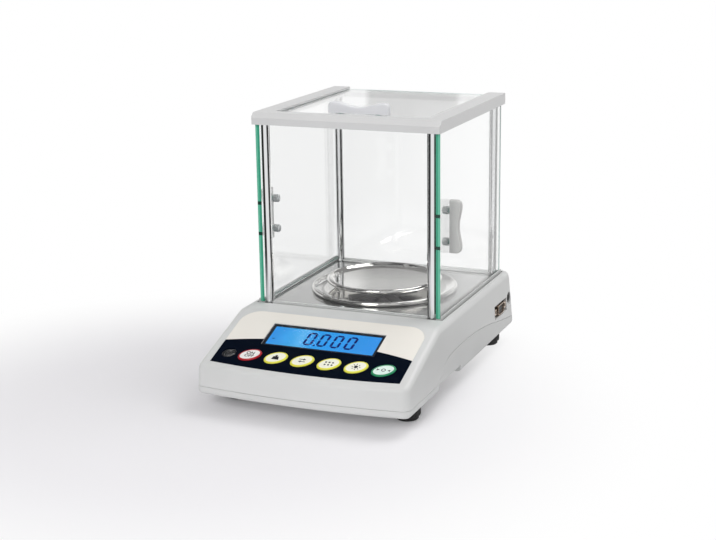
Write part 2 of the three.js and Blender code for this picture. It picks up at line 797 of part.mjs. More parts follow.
const keySwitches = keyXs.map((x) => solid(slab(
  [x - switchSide / 2, x + switchSide / 2], [keyRow - switchSide / 2, keyRow + switchSide / 2],
  [displayBoardFace - boardThickness / 2, displayBoardFace + switchHeight]))
  .add(solid(rod(switchButtonDiameter, [displayBoardFace, switchTop], x, keyRow, 12))));
const displayBoard = solid(slab(
  [-displayBoardWidth / 2, displayBoardWidth / 2], [displayBoardBottom, displayBoardTop],
  [displayBoardFace - boardThickness, displayBoardFace]))
  .add(joined(keySwitches))
  .subtract(joined(pegPlaces.map(([x, y]) => solid(rod(
    pegDiameter + 2 * fit, [displayBoardFace - overrun, displayBoardFace + overrun], x, y, 12)))));
panel.add(piece('display_board', displayBoard, boardGreen, 0.6, 0));

const keyCap = joined([
  solid(prism(keyOval(keyWidth, keyHeight, 0, 0), [flangeTop - keyFlangeThickness, keyProud])),
  solid(prism(
    keyOval(keyWidth + 2 * keyFlange, keyHeight + 2 * keyFlange, 0, 0),
    [flangeTop - keyFlangeThickness, flangeTop])),
  solid(rod(keyStemDiameter, [switchTop + keyTravel + fit, flangeTop], 0, 0, 14)),
]);
const keyNames = ['key_on_off', 'key_cal', 'key_unit', 'key_count', 'key_light', 'key_tare'];
const keyColours = [0xd8283a, 0xf4ee6a, 0xf4ee6a, 0xf4ee6a, 0xf4ee6a, 0x2fa878];
keyNames.forEach((name, i) => {
  const mesh = piece(name, keyCap, keyColours[i], 0.4, 0);
  mesh.position.set(keyXs[i], keyRow, 0);
  panel.add(mesh);
});

// Bubble level beside the keys
const levelWell = levelDiameter - 2 * levelCupWall;
const levelCup = solid(rod(levelDiameter, [-levelCupDepth, -filmThickness], 0, 0))
  .add(solid(rod(
    levelDiameter + 2 * levelFlange, [flangeTop - keyFlangeThickness, flangeTop], 0, 0)))
  .subtract(solid(rod(levelWell, [-filmThickness - levelWellDepth, overrun], 0, 0)));
const levelCupMesh = piece('level_vial', levelCup, 0x3a3d42, 0.4, 0);
levelCupMesh.position.set(levelX, keyRow, 0);
panel.add(levelCupMesh);

const lensRadius = levelWell / 2 - fit;
const lensFloor = -filmThickness - levelWellDepth + fit;
const levelLens = turned([
  [0, lensFloor], [lensRadius, lensFloor], [lensRadius, -filmThickness / 2],
  [lensRadius / 2, levelLensProud * lensCrownShare], [0, levelLensProud],
], 0, 0, 24);
const levelLensMesh = piece('level_lens', levelLens, 0xb9c2c4, 0.1, 0);
levelLensMesh.position.set(levelX, keyRow, 0);
panel.add(levelLensMesh);

// Floor plate of the chamber
const floorPlate = solid(slab(
  [-plateHalfWidth, plateHalfWidth], [plateFrontY, plateRearY], [plateBottom, plateTop]))
  .subtract(solid(rod(spindleHole, [casingBottom, casingTop], 0, chamberCentreY, 32)))
  .subtract(joined(postPlaces.map(([, x, y]) => solid(rod(
    postSpigotDiameter + 2 * fit, [casingBottom, casingTop], x, y, 12)))))
  .subtract(solid(rod(
    studDiameter / 2 + 2 * fit, [casingBottom, casingTop], studX, studY, 12)));
balance.add(piece('floor_plate', floorPlate, 0xb4b5b4, 0.35, 0.8));

const plateStud = solid(rod(studDiameter, [plateTop + fit, plateTop + fit + studHeight], studX, studY, 16))
  .add(solid(rod(studDiameter / 2, [plateBottom, plateTop + fit + studHeight / 2], studX, studY, 12)));
balance.add(piece('plate_stud', plateStud, 0xe0e0e0, 0.1, 1));

// Posts with a spigot at each end, in the deck's sockets and in the top frame
for (const [name, x, y] of postPlaces) {
  const post = joined([
    solid(rod(postDiameter, [plateTop + fit, frameBottom - fit], 0, 0)),
    solid(rod(postSpigotDiameter, [deckUnderside - postSocketDepth, doorTop], 0, 0, 12)),
  ]);
  const mesh = piece(name, post, 0xd9dadb, 0.1, 1);
  mesh.position.set(x, y, 0);
  balance.add(mesh);
}

// Bottom guides of the doors and seats of the fixed panes
for (const [name, side] of [['door_track_left', -1], ['door_track_right', 1]]) {
  const inner = doorInnerX;
  const outer = doorOuterX + fit + trackWall;
  const lip = doorOuterX + fit;
  const baseTop = trackBottom + trackBase;
  const lipTop = trackBottom + trackHeight;
  const track = polygon([
    [side * inner, trackBottom], [side * outer, trackBottom], [side * outer, lipTop],
    [side * lip, lipTop], [side * lip, baseTop], [side * inner, baseTop],
  ]);
  const run = prism(track, [-doorRearY, -doorFrontY]);
  const axes = new THREE.Matrix4().makeBasis(
    new THREE.Vector3(1, 0, 0), new THREE.Vector3(0, 0, 1), new THREE.Vector3(0, -1, 0));
  balance.add(piece(name, solid(run.applyMatrix4(axes)), 0xc9cac9, 0.45, 0));
}

const paneHalfWidth = postX - postDiameter / 2 - fit;
for (const [word, y] of [['front', postFrontY], ['rear', postRearY]]) {
  const groove = slab(
    [-paneHalfWidth - overrun, paneHalfWidth + overrun], [y - paneGlass / 2 - fit, y + paneGlass / 2 + fit],
    [trackBottom + trackBase, trackBottom + sillHeight + overrun]);
  const sill = solid(slab(
    [-paneHalfWidth, paneHalfWidth], [y - sillWidth / 2, y + sillWidth / 2],
    [trackBottom, trackBottom + sillHeight])).subtract(solid(groove));
  balance.add(piece(`${word}_sill`, sill, 0xc9cac9, 0.45, 0));
  balance.add(piece(`${word}_glass`, slab(
    [-paneHalfWidth, paneHalfWidth], [y - paneGlass / 2, y + paneGlass / 2],
    [doorBottom, doorTop]), glassGreen, 0.05, 0));
}

// Top frame: one moulding on the four posts, open at the rear for the sliding pane
function frameOutline() {
  const shape = new THREE.Shape();
  const corner = frameCornerRadius;
  shape.moveTo(-frameHalfWidth, frameBackY);
  shape.lineTo(-frameHalfWidth, frameFrontY + corner);
  shape.quadraticCurveTo(-frameHalfWidth, frameFrontY, -frameHalfWidth + corner, frameFrontY);
  shape.lineTo(frameHalfWidth - corner, frameFrontY);
  shape.quadraticCurveTo(frameHalfWidth, frameFrontY, frameHalfWidth, frameFrontY + corner);
  shape.lineTo(frameHalfWidth, frameBackY);
  return shape;
}
const chamferShape = polygon([
  [frameFrontY - overrun, shieldTop + overrun], [frameFrontY - overrun, shieldTop - frameChamferRise],
  [frameFrontY, shieldTop - frameChamferRise],
  [frameFrontY + frameChamferRun, shieldTop], [frameFrontY + frameChamferRun, shieldTop + overrun],
]);
const topFrame = solid(prism(frameOutline(), [frameBottom, shieldTop]))
  .subtract(solid(slab(
    [-openingHalf, openingHalf], [openingFrontY, openingRearY],
    [frameBottom - overrun, shieldTop + overrun])))
  .subtract(solid(slab(
    [-paneHalf - fit, paneHalf + fit], [paneFrontY - fit, frameBackY + overrun],
    [paneBottom - fit, paneTop + fit])))
  .subtract(solid(slab(
    [-openingHalf, openingHalf], [openingRearY - overrun, frameBackY + overrun],
    [paneBottom - fit, shieldTop + overrun])))
  .subtract(solid(prismAlongX(chamferShape, [-frameHalfWidth - overrun, frameHalfWidth + overrun])))
  .subtract(joined([-1, 1].map((side) => solid(slab(
    [Math.min(side * (doorInnerX - fit), side * (doorOuterX + fit)),
      Math.max(side * (doorInnerX - fit), side * (doorOuterX + fit))],
    [doorFrontY - fit, frameBackY + overrun], [frameBottom - overrun, doorTop + fit])))))
  .subtract(joined([postFrontY, postRearY].map((y) => solid(slab(
    [-paneHalfWidth - fit, paneHalfWidth + fit], [y - paneGlass / 2 - fit, y + paneGlass / 2 + fit],
    [frameBottom - overrun, doorTop + fit])))))
  .subtract(joined(postPlaces.map(([, x, y]) => solid(rod(
    postSpigotDiameter + 2 * fit, [frameBottom - overrun, doorTop + fit], x, y, 12)))));
balance.add(piece('top_frame', topFrame, 0xd6d7d6, 0.45, 0));

// A handle: flat on the glass, two lobes and a waist; drawn along x, standing up in y
function handleShape(length, reach, waist) {
  const half = length / 2;
  const lobe = reach / 2;
  const shape = new THREE.Shape();
  shape.moveTo(-half, 0);
  shape.lineTo(half, 0);
  shape.lineTo(half, reach - lobe);
  shape.quadraticCurveTo(half, reach, half - lobe, reach);
  shape.bezierCurveTo(half / 2, reach, half / 3, reach - waist, 0, reach - waist);
  shape.bezierCurveTo(-half / 3, reach - waist, -half / 2, reach, -half + lobe, reach);
  shape.quadraticCurveTo(-half, reach, -half, reach - lobe);
  return shape;
}

// The handle in its own frame, with blind holes for its screws in the flat side
function handleBody(length, reach, waist, pitch) {
  const bar = prism(handleShape(length, reach, waist), [-handleThickness / 2, handleThickness / 2], 8);
  const holes = [-1, 1].map((side) => {
    const hole = new THREE.CylinderGeometry(
      handleScrewDiameter / 2 + fit, handleScrewDiameter / 2 + fit, 2 * (handleScrewBite + fit), 12);
    return solid(hole.translate(side * pitch / 2, 0, 0));
  });
  return solid(bar).subtract(joined(holes));
}

// A handle's screw: its nut under the glass, its shank through the glass into the bar
function handleScrew(glass, nutHeight, along) {
  const nut = new THREE.CylinderGeometry(handleNutDiameter / 2, handleNutDiameter / 2, nutHeight, 16);
  nut.translate(along, -glass - 2 * fit - nutHeight / 2, 0);
  const shankLength = handleScrewBite + glass + 2 * fit + nutHeight / 2;
  const shank = new THREE.CylinderGeometry(handleScrewDiameter / 2, handleScrewDiameter / 2, shankLength, 12);
  shank.translate(along, handleScrewBite - shankLength / 2, 0);
  return solid(nut).add(solid(shank));
}

// A handle with its screws: along is the way the bar runs, out the way it stands up from the glass
function placedHandle(name, body, glass, nutHeight, pitch, place, along, out) {
  const group = new THREE.Group();
  group.position.set(...place);
  group.quaternion.setFromRotationMatrix(
    new THREE.Matrix4().makeBasis(along, out, new THREE.Vector3().crossVectors(along, out)));
  group.add(piece(name, body, 0xd2d3d3, 0.4, 0));
  group.add(piece(`${name}_screw_a`, handleScrew(glass, nutHeight, -pitch / 2), 0xbfc3c4, 0.3, 0.2));
  group.add(piece(`${name}_screw_b`, handleScrew(glass, nutHeight, pitch / 2), 0xbfc3c4, 0.3, 0.2));
  balance.add(group);
}

// Sliding doors
const sideHandle = handleBody(sideHandleLength, sideHandleReach, sideHandleWaist, sideHandleScrewPitch);
for (const [word, side] of [['left', -1], ['right', 1]]) {
  const screwHoles = [-1, 1].map((end) => solid(rodAlongX(
    handleScrewDiameter + 2 * fit,
    side < 0 ? [-doorOuterX - overrun, -doorInnerX + overrun] : [doorInnerX - overrun, doorOuterX + overrun],
    sideHandleY, sideHandleZ + end * sideHandleScrewPitch / 2, 12)));
  const glass = solid(slab(
    side < 0 ? [-doorOuterX, -doorInnerX] : [doorInnerX, doorOuterX],
    [doorFrontY, doorRearY], [doorBottom, doorTop])).subtract(joined(screwHoles));
  balance.add(piece(`${word}_door`, glass, glassGreen, 0.05, 0));
  placedHandle(
    `${word}_handle`, sideHandle, doorGlass, sideNutHeight, sideHandleScrewPitch,
    [side * (doorOuterX + fit), sideHandleY, sideHandleZ],
    new THREE.Vector3(0, 0, 1), new THREE.Vector3(side, 0, 0));
}

// Sliding top pane
const topGlass = solid(slab(
  [-paneHalf, paneHalf], [paneFrontY, frameBackY], [paneBottom, paneTop]))
  .subtract(joined([-1, 1].map((side) => solid(rod(
    handleScrewDiameter + 2 * fit, [paneBottom - overrun, paneTop + overrun],
    side * topHandleScrewPitch / 2, topHandleY, 12)))));
balance.add(piece('top_glass', topGlass, glassGreen, 0.05, 0));
placedHandle(
  'top_handle', handleBody(topHandleLength, topHandleReach, topHandleWaist, topHandleScrewPitch),
  paneGlass, topNutHeight, topHandleScrewPitch, [0, topHandleY, paneTop + fit],
  new THREE.Vector3(1, 0, 0), new THREE.Vector3(0, 0, 1));

// A sheet disc, closed or with a hole in the middle: a cove rises to its rim, which is rolled outward
// into a bead; the shares of a turn say where the bead begins and how far it goes round
function rolledDisc(hole, rimDiameter, sheet, bead, bottom, depth, coveWidth) {
  const beadRadius = bead / 2;
  const beadCentre = [rimDiameter / 2 - beadRadius, bottom + depth];
  const foot = beadCentre[0] - beadRadius - coveWidth;
  const steps = 7;
  const curl = [];
  for (let i = 0; i <= steps; i += 1) {
    const angle = 2 * Math.PI * (beadStartShare + beadCurlShare * (i / steps));
    curl.push([
      beadCentre[0] + beadRadius * Math.cos(angle), beadCentre[1] + beadRadius * Math.sin(angle)]);
  }
  const cove = (level, end) => new THREE.QuadraticBezierCurve(
    new THREE.Vector2(foot, level), new THREE.Vector2(foot + coveBendShare * (end[0] - foot), level),
    new THREE.Vector2(...end)).getPoints(3).slice(0, -1).map(({ x, y }) => [x, y]);
  const outline = [
    [hole / 2, bottom], ...cove(bottom, curl[0]), ...curl,
    ...cove(bottom + sheet, curl[steps]).reverse(), [hole / 2, bottom + sheet]];
  if (hole > 0) {
    outline.push([hole / 2, bottom]);
  }
  return outline;
}

// Draft ring round the spindle, resting on the plate
const ringBottom = plateTop + fit;
balance.add(piece('draft_ring', solid(turned(rolledDisc(
  spindleHole, ringDiameter, ringSheet, ringBeadDiameter, ringBottom, ringBeadDiameter / 2, ringCove,
), 0, chamberCentreY, 40)), 0xd0d0d0, 0.12, 1));

// Spindle, screwed into the free end of the cell
const spindleFlangeBottom = cellTop + stageGap;
const spindleThreadBottom = cellTop - spindleThreadLength;
const spindleFlangeTop = spindleFlangeBottom + spindleFlangeThickness;
const spindle = joined([
  solid(rod(spindleThread, [spindleThreadBottom, spindleFlangeBottom + fit], 0, chamberCentreY, 16)),
  solid(rod(spindleFlange, [spindleFlangeBottom, spindleFlangeTop], 0, chamberCentreY, 6)),
  solid(rod(spindleDiameter, [spindleFlangeBottom + fit, spindleTop], 0, chamberCentreY)),
]);
balance.add(piece('spindle', spindle, steelGrey, 0.3, 0.9));

// Arms that carry the pan
const armShape = (turn) => {
  const arm = slab([-supportDiameter / 2, supportDiameter / 2], [-supportArm / 2, supportArm / 2],
    [supportBottom, supportBottom + supportThickness]);
  return solid(arm.rotateZ(turn).translate(0, chamberCentreY, 0));
};
balance.add(piece('pan_support', armShape(Math.PI / 4).add(armShape(-Math.PI / 4)), steelGrey, 0.3, 0.9));

// Weighing pan
balance.add(piece('pan', solid(turned(rolledDisc(
  0, panDiameter, panSheet, panBeadDiameter, panUnderside, panDepth - panBeadDiameter / 2 + panSheet,
  panCove), 0, chamberCentreY, 44)), 0xdadada, 0.1, 1));

// Weighing cell on the pedestal
const boreY = cellFrontY + cellBoreCentreShare * cellLength;
const boreZ = (cellBottom + cellTop) / 2;
const loadCell = solid(slab(
  [-cellWidth / 2, cellWidth / 2], [cellFrontY, cellRearY], [cellBottom, cellTop]))
  .subtract(joined([-1, 1].map((side) => solid(rodAlongX(
    cellBoreDiameter, [-cellWidth, cellWidth], boreY + side * cellBorePitch / 2, boreZ)))))
  .subtract(solid(slab(
    [-cellWidth, cellWidth], [boreY - cellBorePitch / 2, boreY + cellBorePitch / 2],
    [boreZ - cellSlot / 2, boreZ + cellSlot / 2])))
  .subtract(joined(cellBoltYs.map((y) => solid(rod(
    cellBoltDiameter + 2 * fit, [cellBottom - overrun, cellTop + overrun], 0, y, 16)))))
  .subtract(solid(rod(
    spindleThread + 2 * fit, [spindleThreadBottom - stageGap, cellTop + overrun], 0, chamberCentreY, 16)));
balance.add(piece('load_cell', loadCell, 0xb9bcc0, 0.4, 0.9));

cellBoltYs.forEach((y, i) => {
  const bolt = solid(rod(cellBoltHead, [cellTop + fit, cellTop + fit + cellBoltHeadHeight], 0, y, 16))
    .add(solid(rod(cellBoltDiameter, [floorTop + fit, cellTop + cellBoltHeadHeight / 2], 0, y, 16)));
  balance.add(piece(['load_cell_bolt_front', 'load_cell_bolt_rear'][i], bolt, 0x3c3e42, 0.4, 0.8));
});

// Main board on its standoffs
const mainBoardBottom = floorTop + mainBoardStandoff + fit;
const mainBoardTop = mainBoardBottom + boardThickness;
const chips = chipPlaceShares.map(([x, y]) => solid(slab(
  [mainBoardX + x * mainBoardWidth - chipSide / 2, mainBoardX + x * mainBoardWidth + chipSide / 2],
  [mainBoardY + y * mainBoardLength - chipSide / 2, mainBoardY + y * mainBoardLength + chipSide / 2],
  [mainBoardTop - boardThickness / 2, mainBoardTop + chipHeight])));
const relay = solid(slab(
  [mainBoardX - relayLength / 2, mainBoardX + relayLength / 2],
  [mainBoardY + relayPlaceShare * mainBoardLength - chipSide / 2,
    mainBoardY + relayPlaceShare * mainBoardLength + chipSide / 2],
  [mainBoardTop - boardThickness / 2, mainBoardTop + relayHeight]));
const mainBoard = solid(slab(
  [mainBoardX - mainBoardWidth / 2, mainBoardX + mainBoardWidth / 2],
  [mainBoardY - mainBoardLength / 2, mainBoardY + mainBoardLength / 2], [mainBoardBottom, mainBoardTop]))
  .add(joined(chips))
  .add(relay)
  .subtract(joined(mainBoardCorners.map(([x, y]) => solid(rod(
    pegDiameter + 2 * fit, [mainBoardBottom - overrun, mainBoardTop + overrun], x, y, 12)))));
balance.add(piece('main_board', mainBoard, boardGreen, 0.6, 0));

// Bracket that carries the connectors behind the right wall
const bracketFront = serialY - serialFlangeLength / 2 - bracketMargin;
const bracketRear = jackY + jackDiameter / 2 + bracketMargin;
const bracketTop = jackZ + jackDiameter / 2 + bracketMargin;
const bracketBack = bracketFace - bracketThickness;
const connectorBracket = solid(slab(
  [bracketBack, bracketFace], [bracketFront, bracketRear], [floorTop + fit, bracketTop]))
  .add(solid(slab(
    [bracketBack - bracketFoot, bracketFace], [bracketFront, footRearY - footBossDiameter / 2 - fit],
    [floorTop + fit, floorTop + fit + bracketThickness])))
  .subtract(solid(slab(
    [bracketBack - overrun, bracketFace + overrun],
    [serialY - serialShellLength / 2 - fit, serialY + serialShellLength / 2 + fit],
    [serialZ - serialShellHeight / 2 - fit, serialZ + serialShellHeight / 2 + fit])))
  .subtract(solid(rodAlongX(
    jackBore + 2 * fit, [bracketBack - overrun, bracketFace + overrun], jackY, jackZ)));
balance.add(piece('connector_bracket', connectorBracket, 0xb0b2b4, 0.4, 0.8));

// Serial socket: flange on the bracket, keystone shell through the wall, body behind
const flangeBack = bracketFace + fit;
const flangeFace = flangeBack + bracketThickness / 2;
const keystone = (growth, [x0, x1]) => {
  const low = serialShellLength / 2 - serialShellSlant + growth;
  const high = serialShellLength / 2 + growth;
  const rise = serialShellHeight / 2 + growth;
  return solid(prismAlongX(polygon([
    [serialY - low, serialZ - rise], [serialY + low, serialZ - rise],
    [serialY + high, serialZ + rise], [serialY - high, serialZ + rise],
  ]), [x0, x1]));
};
const serialPinPlaces = [
  ...[-2, -1, 0, 1, 2].map((step) => [step * serialPinPitch, serialRowPitch / 2]),
  ...[-1.5, -0.5, 0.5, 1.5].map((step) => [step * serialPinPitch, -serialRowPitch / 2]),
];
const serialHoles = serialPinPlaces.map(([along, rise]) => solid(rodAlongX(
  serialPinHole, [flangeFace + serialShellReach / 2, flangeFace + serialShellReach + overrun],
  serialY + along, serialZ + rise, 6)));
const jackScrews = [-1, 1].map((side) => solid(rodAlongX(
  serialScrewAcross, [flangeBack, flangeFace + serialScrewHeight],
  serialY + side * serialScrewPitch / 2, serialZ, 6)));
const serialConnector = solid(slab(
  [flangeBack, flangeFace],
  [serialY - serialFlangeLength / 2, serialY + serialFlangeLength / 2],
  [serialZ - serialFlangeHeight / 2, serialZ + serialFlangeHeight / 2]))
  .add(keystone(0, [flangeBack, flangeFace + serialShellReach]))
  .add(keystone(-2 * fit, [bracketBack - serialBodyDepth, flangeFace]))
  .add(joined(jackScrews))
  .subtract(joined(serialHoles));
balance.add(piece('serial_connector', serialConnector, 0x8d8a86, 0.3, 0.9));

// Power inlet: a round barrel with its pin
const powerJack = joined([
  solid(rodAlongX(jackDiameter, [flangeBack, flangeBack + jackReach], jackY, jackZ)),
  solid(rodAlongX(jackBore, [bracketBack - jackBody, flangeBack + fit], jackY, jackZ)),
]).subtract(solid(rodAlongX(jackBore - fit, [bracketBack - jackBody / 2, halfWidth], jackY, jackZ)))
  .add(solid(rodAlongX(jackPin, [bracketBack - jackBody, flangeBack + jackReach / 2], jackY, jackZ, 12)));
balance.add(piece('power_jack', powerJack, 0x16161a, 0.5, 0));

export default balance;
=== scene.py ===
import math

import bmesh
import bpy
from mathutils import Matrix, Vector


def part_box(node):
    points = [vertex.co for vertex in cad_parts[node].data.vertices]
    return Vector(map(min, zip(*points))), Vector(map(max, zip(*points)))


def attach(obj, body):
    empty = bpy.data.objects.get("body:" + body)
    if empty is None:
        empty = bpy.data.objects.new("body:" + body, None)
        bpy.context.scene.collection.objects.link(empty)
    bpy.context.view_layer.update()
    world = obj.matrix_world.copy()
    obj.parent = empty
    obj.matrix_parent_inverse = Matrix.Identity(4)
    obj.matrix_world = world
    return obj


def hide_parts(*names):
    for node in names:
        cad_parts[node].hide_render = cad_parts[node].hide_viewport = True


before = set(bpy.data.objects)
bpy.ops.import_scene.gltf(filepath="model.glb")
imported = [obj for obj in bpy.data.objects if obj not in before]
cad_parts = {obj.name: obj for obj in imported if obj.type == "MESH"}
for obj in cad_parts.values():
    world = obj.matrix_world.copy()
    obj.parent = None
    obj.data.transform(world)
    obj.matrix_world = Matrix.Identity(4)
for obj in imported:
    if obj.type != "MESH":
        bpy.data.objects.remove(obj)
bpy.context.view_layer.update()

# The camera stands to the right of the keys and a little above them, far back with a long lens.
# Its place is given from a point inside the balance, in millimetres and degrees, and its focal length
# in pixels of a frame 716 pixels wide.
mm = 0.001
frame_pixels = 716
focal_pixels = 1448.8
sensor_width = 36
view_turn = math.radians(22.72)
view_lift = math.radians(14.70)
view_roll = math.radians(-0.83)
view_distance = 1167.1
view_target = Vector((0, 24.84, 68.08))
view_right, view_up = -14.33, 9.47

backward = Vector((
    math.sin(view_turn) * math.cos(view_lift), -math.cos(view_turn) * math.cos(view_lift),
    math.sin(view_lift)))
level_right = Vector((math.cos(view_turn), math.sin(view_turn), 0))
level_up = backward.cross(level_right)
right = level_right * math.cos(view_roll) + level_up * math.sin(view_roll)
up = level_up * math.cos(view_roll) - level_right * math.sin(view_roll)
camera = bpy.data.objects.new("camera", bpy.data.cameras.new("camera"))
camera.data.lens = focal_pixels / frame_pixels * sensor_width
camera.data.sensor_width = sensor_width
camera.data.clip_start = 0.05
place = view_target + right * view_right + up * view_up + backward * view_distance
camera.matrix_world = Matrix.Translation(place * mm) @ Matrix((right, up, backward)).transposed().to_4x4()
bpy.context.scene.collection.objects.link(camera)
bpy.context.scene.camera = camera
bpy.context.scene.view_settings.view_transform = "Standard"

# The studio is a white paper sweep under large soft lamps. Two wide dark flags beside the camera and a narrow
# one behind the balance draw the dark stripes in polished metal. The paper is shaded near the balance and
# fades to white farther out.
floor_radius = 1.5
floor_paper = (0.84, 0.83, 0.85, 1)
floor_bounce, floor_glow = 0.52, 0.08
shade_centre = (-0.08, -0.12, 0)
shade_reach, shade_end = 0.13, 0.34
# A flag has its turn from the camera, half width and soft edge in shares of a full turn, and its darkness.
flags = (
    (-0.25, 0.13, 0.012, 0.97),
    (0.215, 0.095, 0.012, 0.97),
    (0.4937, 0.005, 0.0004, 0.4),
)
wall_tones = ((0.25, 1.0), (0.282, 0.7), (0.33, 0.45), (0.42, 0.24))
wall_tint, wall_strength = (1, 0.995, 1, 1), 0.46
full_white, no_light = (1, 1, 1, 1), (0, 0, 0, 1)
camera_turn = (math.degrees(math.atan2(backward.y, backward.x)) + 180) / 360
soft_lamps = (
    ("lamp_above", (0.45, 0.45, 1.2), 0.8, 6.0),
    ("lamp_right", (1.3, -0.2, 0.7), 0.7, 1.5),
    ("lamp_front", (0, -1.4, 0.85), 0.7, 8.4),
)


def feed(tree, node, feeds):
    """Set each given input of a node, or link what feeds it."""
    for place, value in feeds.items():
        if isinstance(value, bpy.types.NodeSocket):
            tree.links.new(value, node.inputs[place])
        else:
            node.inputs[place].default_value = value
    return node


def add_node(tree, kind, feeds, **settings):
    """Put a shader node into a tree with its settings, its values and what feeds it."""
    made = tree.nodes.new("ShaderNode" + kind)
    for setting, value in settings.items():
        setattr(made, setting, value)
    return feed(tree, made, feeds)


def reckon(tree, operation, *values, **settings):
    """Reckon with values that change from place to place."""
    return add_node(tree, "Math", dict(enumerate(values)), operation=operation, **settings).outputs[0]


def spread(tree, value, start, end, low=0.0, high=1.0):
    """Spread one range of a value over another, and hold it beyond both ends."""
    return add_node(tree, "MapRange", {0: value, 1: start, 2: end, 3: low, 4: high}).outputs[0]


def blend(tree, share, first, second):
    """Go over from one colour to another by a share."""
    return add_node(tree, "Mix", {0: share, 6: first, 7: second}, data_type="RGBA").outputs[2]


def surface_spot(tree):
    """The place of a point on a surface."""
    return add_node(tree, "TexCoord", {}).outputs["Object"]


def new_effect(name, dials, results):
    """Start an effect that several finishes share, and give its tree, its inputs and its outputs."""
    tree = bpy.data.node_groups.new(name, "ShaderNodeTree")
    for dial, value in dials.items():
        kind = "NodeSocketVector" if isinstance(value, tuple) else "NodeSocketFloat"
        tree.interface.new_socket(dial, in_out="INPUT", socket_type=kind).default_value = value
    for result in results:
        tree.interface.new_socket(result, in_out="OUTPUT", socket_type="NodeSocketFloat")
    return tree, tree.nodes.new("NodeGroupInput").outputs, tree.nodes.new("NodeGroupOutput").inputs


def use_effect(tree, effect, feeds):
    """Place a shared effect in a finish with its own values."""
    placed = tree.nodes.new("ShaderNodeGroup")
    placed.node_tree = effect
    return feed(tree, placed, feeds).outputs


studio_flags, flag_inputs, flag_outputs = new_effect("studio_flags", {"Way": (0.0, 0.0, 0.0)}, ["Bright"])
way = add_node(studio_flags, "SeparateXYZ", {0: flag_inputs["Way"]}).outputs
angle = reckon(studio_flags, "ARCTAN2", way["Y"], way["X"])
turn = spread(studio_flags, angle, -math.pi, math.pi)
open_sky = None
for flag_turn, half_turn, softness, darkness in flags:
    off = reckon(studio_flags, "SUBTRACT", turn, camera_turn + flag_turn)
    apart = reckon(studio_flags, "ABSOLUTE", off)
    clear = spread(studio_flags, apart, half_turn - softness, half_turn + softness, 1 - darkness)
    open_sky = clear if open_sky is None else reckon(studio_flags, "MULTIPLY", open_sky, clear)
studio_flags.links.new(open_sky, flag_outputs["Bright"])


def ray_kinds(tree):
    """Whether a ray shows the background itself, and whether it comes by way of a mirror."""
    path = add_node(tree, "LightPath", {}).outputs
    by_mirror = reckon(tree, "MINIMUM", path["Glossy Depth"], 1.0)
    by_matt = reckon(tree, "MINIMUM", path["Diffuse Depth"], 1.0)
    direct = reckon(tree, "ADD", path["Is Camera Ray"], path["Is Transmission Ray"], use_clamp=True)
    unmirrored = reckon(tree, "SUBTRACT", direct, by_mirror, use_clamp=True)
    seen = reckon(tree, "SUBTRACT", unmirrored, by_matt, use_clamp=True)
    mirrored = reckon(tree, "SUBTRACT", by_mirror, path["Is Diffuse Ray"], use_clamp=True)
    return seen, mirrored


world = bpy.data.worlds.new("studio")
world.use_nodes = True
bpy.context.scene.world = world
sky = world.node_tree
sky.nodes.clear()
sky_way = add_node(sky, "TexCoord", {}).outputs["Generated"]
sky_height = add_node(sky, "SeparateXYZ", {0: sky_way}).outputs["Z"]
open_way = use_effect(sky, studio_flags, {"Way": sky_way})["Bright"]
wall_light = add_node(sky, "ValToRGB", {0: sky_height})
grades = wall_light.color_ramp.elements
grades.remove(grades[0])
grades[0].position = wall_tones[0][0]
grades[0].color = (wall_tones[0][1],) * 3 + (1,)
for height, tone in wall_tones[1:]:
    grades.new(height).color = (tone, tone, tone, 1)
reflected = reckon(sky, "MULTIPLY", wall_light.outputs["Color"], open_way)
seen, mirrored = ray_kinds(sky)
metal_sees = add_node(sky, "Background", {0: full_white, 1: reflected}).outputs[0]
lights = add_node(sky, "Background", {0: wall_tint, 1: wall_strength}).outputs[0]
backdrop = add_node(sky, "Background", {0: full_white, 1: 1.0}).outputs[0]
indirect = add_node(sky, "MixShader", {0: mirrored, 1: lights, 2: metal_sees}).outputs[0]
all_round = add_node(sky, "MixShader", {0: seen, 1: indirect, 2: backdrop}).outputs[0]
add_node(sky, "OutputWorld", {0: all_round})

paper = bpy.data.materials.new("white_paper")
paper.use_nodes = True
sweep = paper.node_tree
sweep.nodes.clear()
spot = surface_spot(sweep)
distance = add_node(
    sweep, "VectorMath", {0: spot, 1: shade_centre}, operation="DISTANCE").outputs["Value"]
fade = add_node(
    sweep, "MapRange", {0: distance, 1: shade_reach, 2: shade_end},
    interpolation_type="SMOOTHSTEP").outputs[0]
seen, mirrored = ray_kinds(sweep)
open_way = use_effect(sweep, studio_flags, {"Way": spot})["Bright"]
metal_share = reckon(sweep, "MULTIPLY", mirrored, open_way)
clear_way = reckon(sweep, "ADD", seen, mirrored, use_clamp=True)
matt_share = spread(sweep, clear_way, 0.0, 1.0, floor_bounce, 0.0)
shown_share = reckon(sweep, "ADD", seen, metal_share)
background_share = reckon(sweep, "ADD", shown_share, matt_share, use_clamp=True)
strength = reckon(sweep, "MULTIPLY", spread(sweep, fade, 0.0, 1.0, floor_glow), background_share)
lit = add_node(sweep, "BsdfDiffuse", {0: blend(sweep, fade, floor_paper, no_light)}).outputs[0]
shining = add_node(sweep, "Emission", {0: full_white, 1: strength}).outputs[0]
both = add_node(sweep, "AddShader", {0: lit, 1: shining}).outputs[0]
add_node(sweep, "OutputMaterial", {0: both})

sweep_mesh = bmesh.new()
bmesh.ops.create_circle(sweep_mesh, cap_ends=True, radius=floor_radius, segments=96)
floor = bpy.data.objects.new("floor", bpy.data.meshes.new("floor"))
sweep_mesh.to_mesh(floor.data)
sweep_mesh.free()
floor.data.materials.append(paper)
bpy.context.scene.collection.objects.link(floor)

